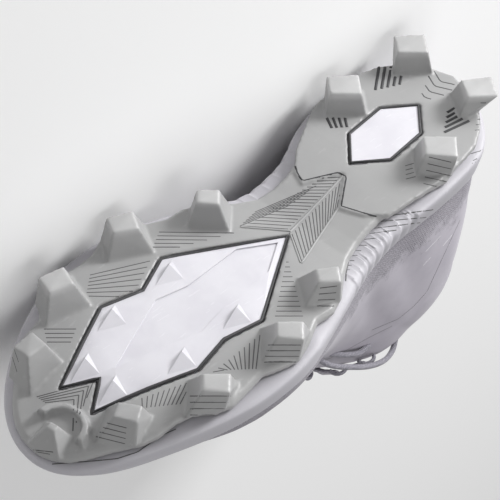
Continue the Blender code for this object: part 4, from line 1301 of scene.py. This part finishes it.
def rand_lines() -> list[MouldLine]:
    """Dark lines that paint the shade of the fine ribs and borders moulded in the rand, along paths of the
    picture.
    """
    flank = (Tone.SOFT, -0.95)
    left = [(365, 222.7), (358.9, 230.1), (355.4, 235.3), (353.3, 240.6), (351.3, 245.4), (350.5, 250.6),
            (349.3, 255.6), (348.2, 260.5), (347.1, 265.3), (346.4, 269.7)]
    right = [(426.2, 217.4), (420.1, 222.7), (396.4, 230.1), (376.5, 238), (366.6, 245.2), (361.2, 250.6),
             (357.4, 255.6), (354.3, 260.5), (351.7, 265.3), (349.7, 269.7)]
    lines = [MouldLine(f"rand_rib_{index}", list(ends), 0.00034, *flank)
             for index, ends in enumerate(zip(left, right), 1)]
    lines += [
        MouldLine("rand_waist_border", [(433, 209.7), (376.5, 217.4), (365, 222.7), (358.9, 227.3),
                                        (355.1, 235), (352, 245.7), (349.3, 257.9), (346.4, 270.2),
                                        (345.6, 281)], 0.00045, *flank),
        MouldLine("rand_heel_border", [(470.7, 153.7), (480.5, 150.8), (494, 143.5)], 0.0004, *flank),
        MouldLine("rand_heel_rib_a", [(473, 160.6), (481.6, 157.1)], 0.0003, *flank),
        MouldLine("rand_heel_rib_b", [(472, 163.5), (478.8, 160.6)], 0.0003, *flank),
        MouldLine("rand_toe_border", [(52, 464), (91.8, 461.1), (117.3, 458.6), (137.8, 451.9), (160, 436.1),
                                      (176, 429)], 0.0004, *flank),
    ]
    return lines


def upper_lines() -> list[MouldLine]:
    """Dark lines that paint the shadow along the upper's seams, and its bright threads, along paths of the
    picture.
    """
    return [
        MouldLine("seam_quarter", [(372, 330), (398, 319), (413.2, 306.9), (427, 291.6), (460, 220)],
                  0.00032, Tone.SEAM, -1.0),
        MouldLine("thread_a", [(425.5, 251.8), (440.8, 235.7)], 0.00028, Tone.PALE, -1.0),
        MouldLine("thread_b", [(443, 246), (452, 235)], 0.00032, Tone.PALE, -1.0),
        MouldLine("thread_c", [(423.2, 265.6), (430.8, 257.2)], 0.00025, Tone.PALE, -1.0),
        MouldLine("seam_eyestay", [(322, 362), (345, 351), (368, 338), (392, 326)], 0.0003, Tone.SEAM, -1.0),
    ]


def upper_creases() -> list[Crease]:
    """Flex creases of the vamp, the ankle and the heel."""
    return [
        Crease((0.050, 0.196, 0.024), (-0.010, 0.212, 0.058), 0.0011, 0.0045),
        Crease((0.049, 0.184, 0.026), (-0.010, 0.199, 0.062), 0.0009, 0.0040),
        Crease((0.047, 0.172, 0.028), (-0.005, 0.186, 0.066), 0.0007, 0.0040),
        Crease((-0.056, 0.206, 0.026), (-0.014, 0.214, 0.056), 0.0009, 0.0045),
        Crease((0.034, 0.104, 0.030), (0.030, 0.086, 0.088), 0.0010, 0.0070),
        Crease((0.036, 0.080, 0.030), (0.033, 0.060, 0.085), 0.0009, 0.0080),
        Crease((0.036, 0.040, 0.034), (0.030, 0.022, 0.080), 0.0007, 0.0090),
        Crease((-0.034, 0.092, 0.034), (-0.030, 0.074, 0.088), 0.0009, 0.0080),
        Crease((0.030, 0.010, 0.050), (0.030, 0.066, 0.104), -0.0050, 0.0280),
    ]


def main() -> None:
    """Build the dressed cleat and its stage."""
    logging.basicConfig(level=logging.INFO, format="%(name)s %(message)s")
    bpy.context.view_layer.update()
    low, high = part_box("upper")
    space = ShoeSpace.from_insert(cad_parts["heel_insert"], (low + high) * 0.5)
    finishes = Finishes.make()
    sight = Sight.of_shoe(space)
    plate = SolePlate(space, finishes).build()
    Relief(space, sight, finishes, plate, "sole_rubber", sole_fields(), sole_lines()).build()
    rand = Rand(space, finishes).build()
    Relief(space, sight, finishes, rand, "rand_rubber", [], rand_lines()).build()
    upper = UpperShell(space, finishes, creases=upper_creases()).build()
    Relief(space, sight, finishes, upper, "knit_upper", [], upper_lines()).build()
    SoftParts(space, finishes, upper).build()
    Studio(sight).build()


if __name__ == "__main__":
    main()
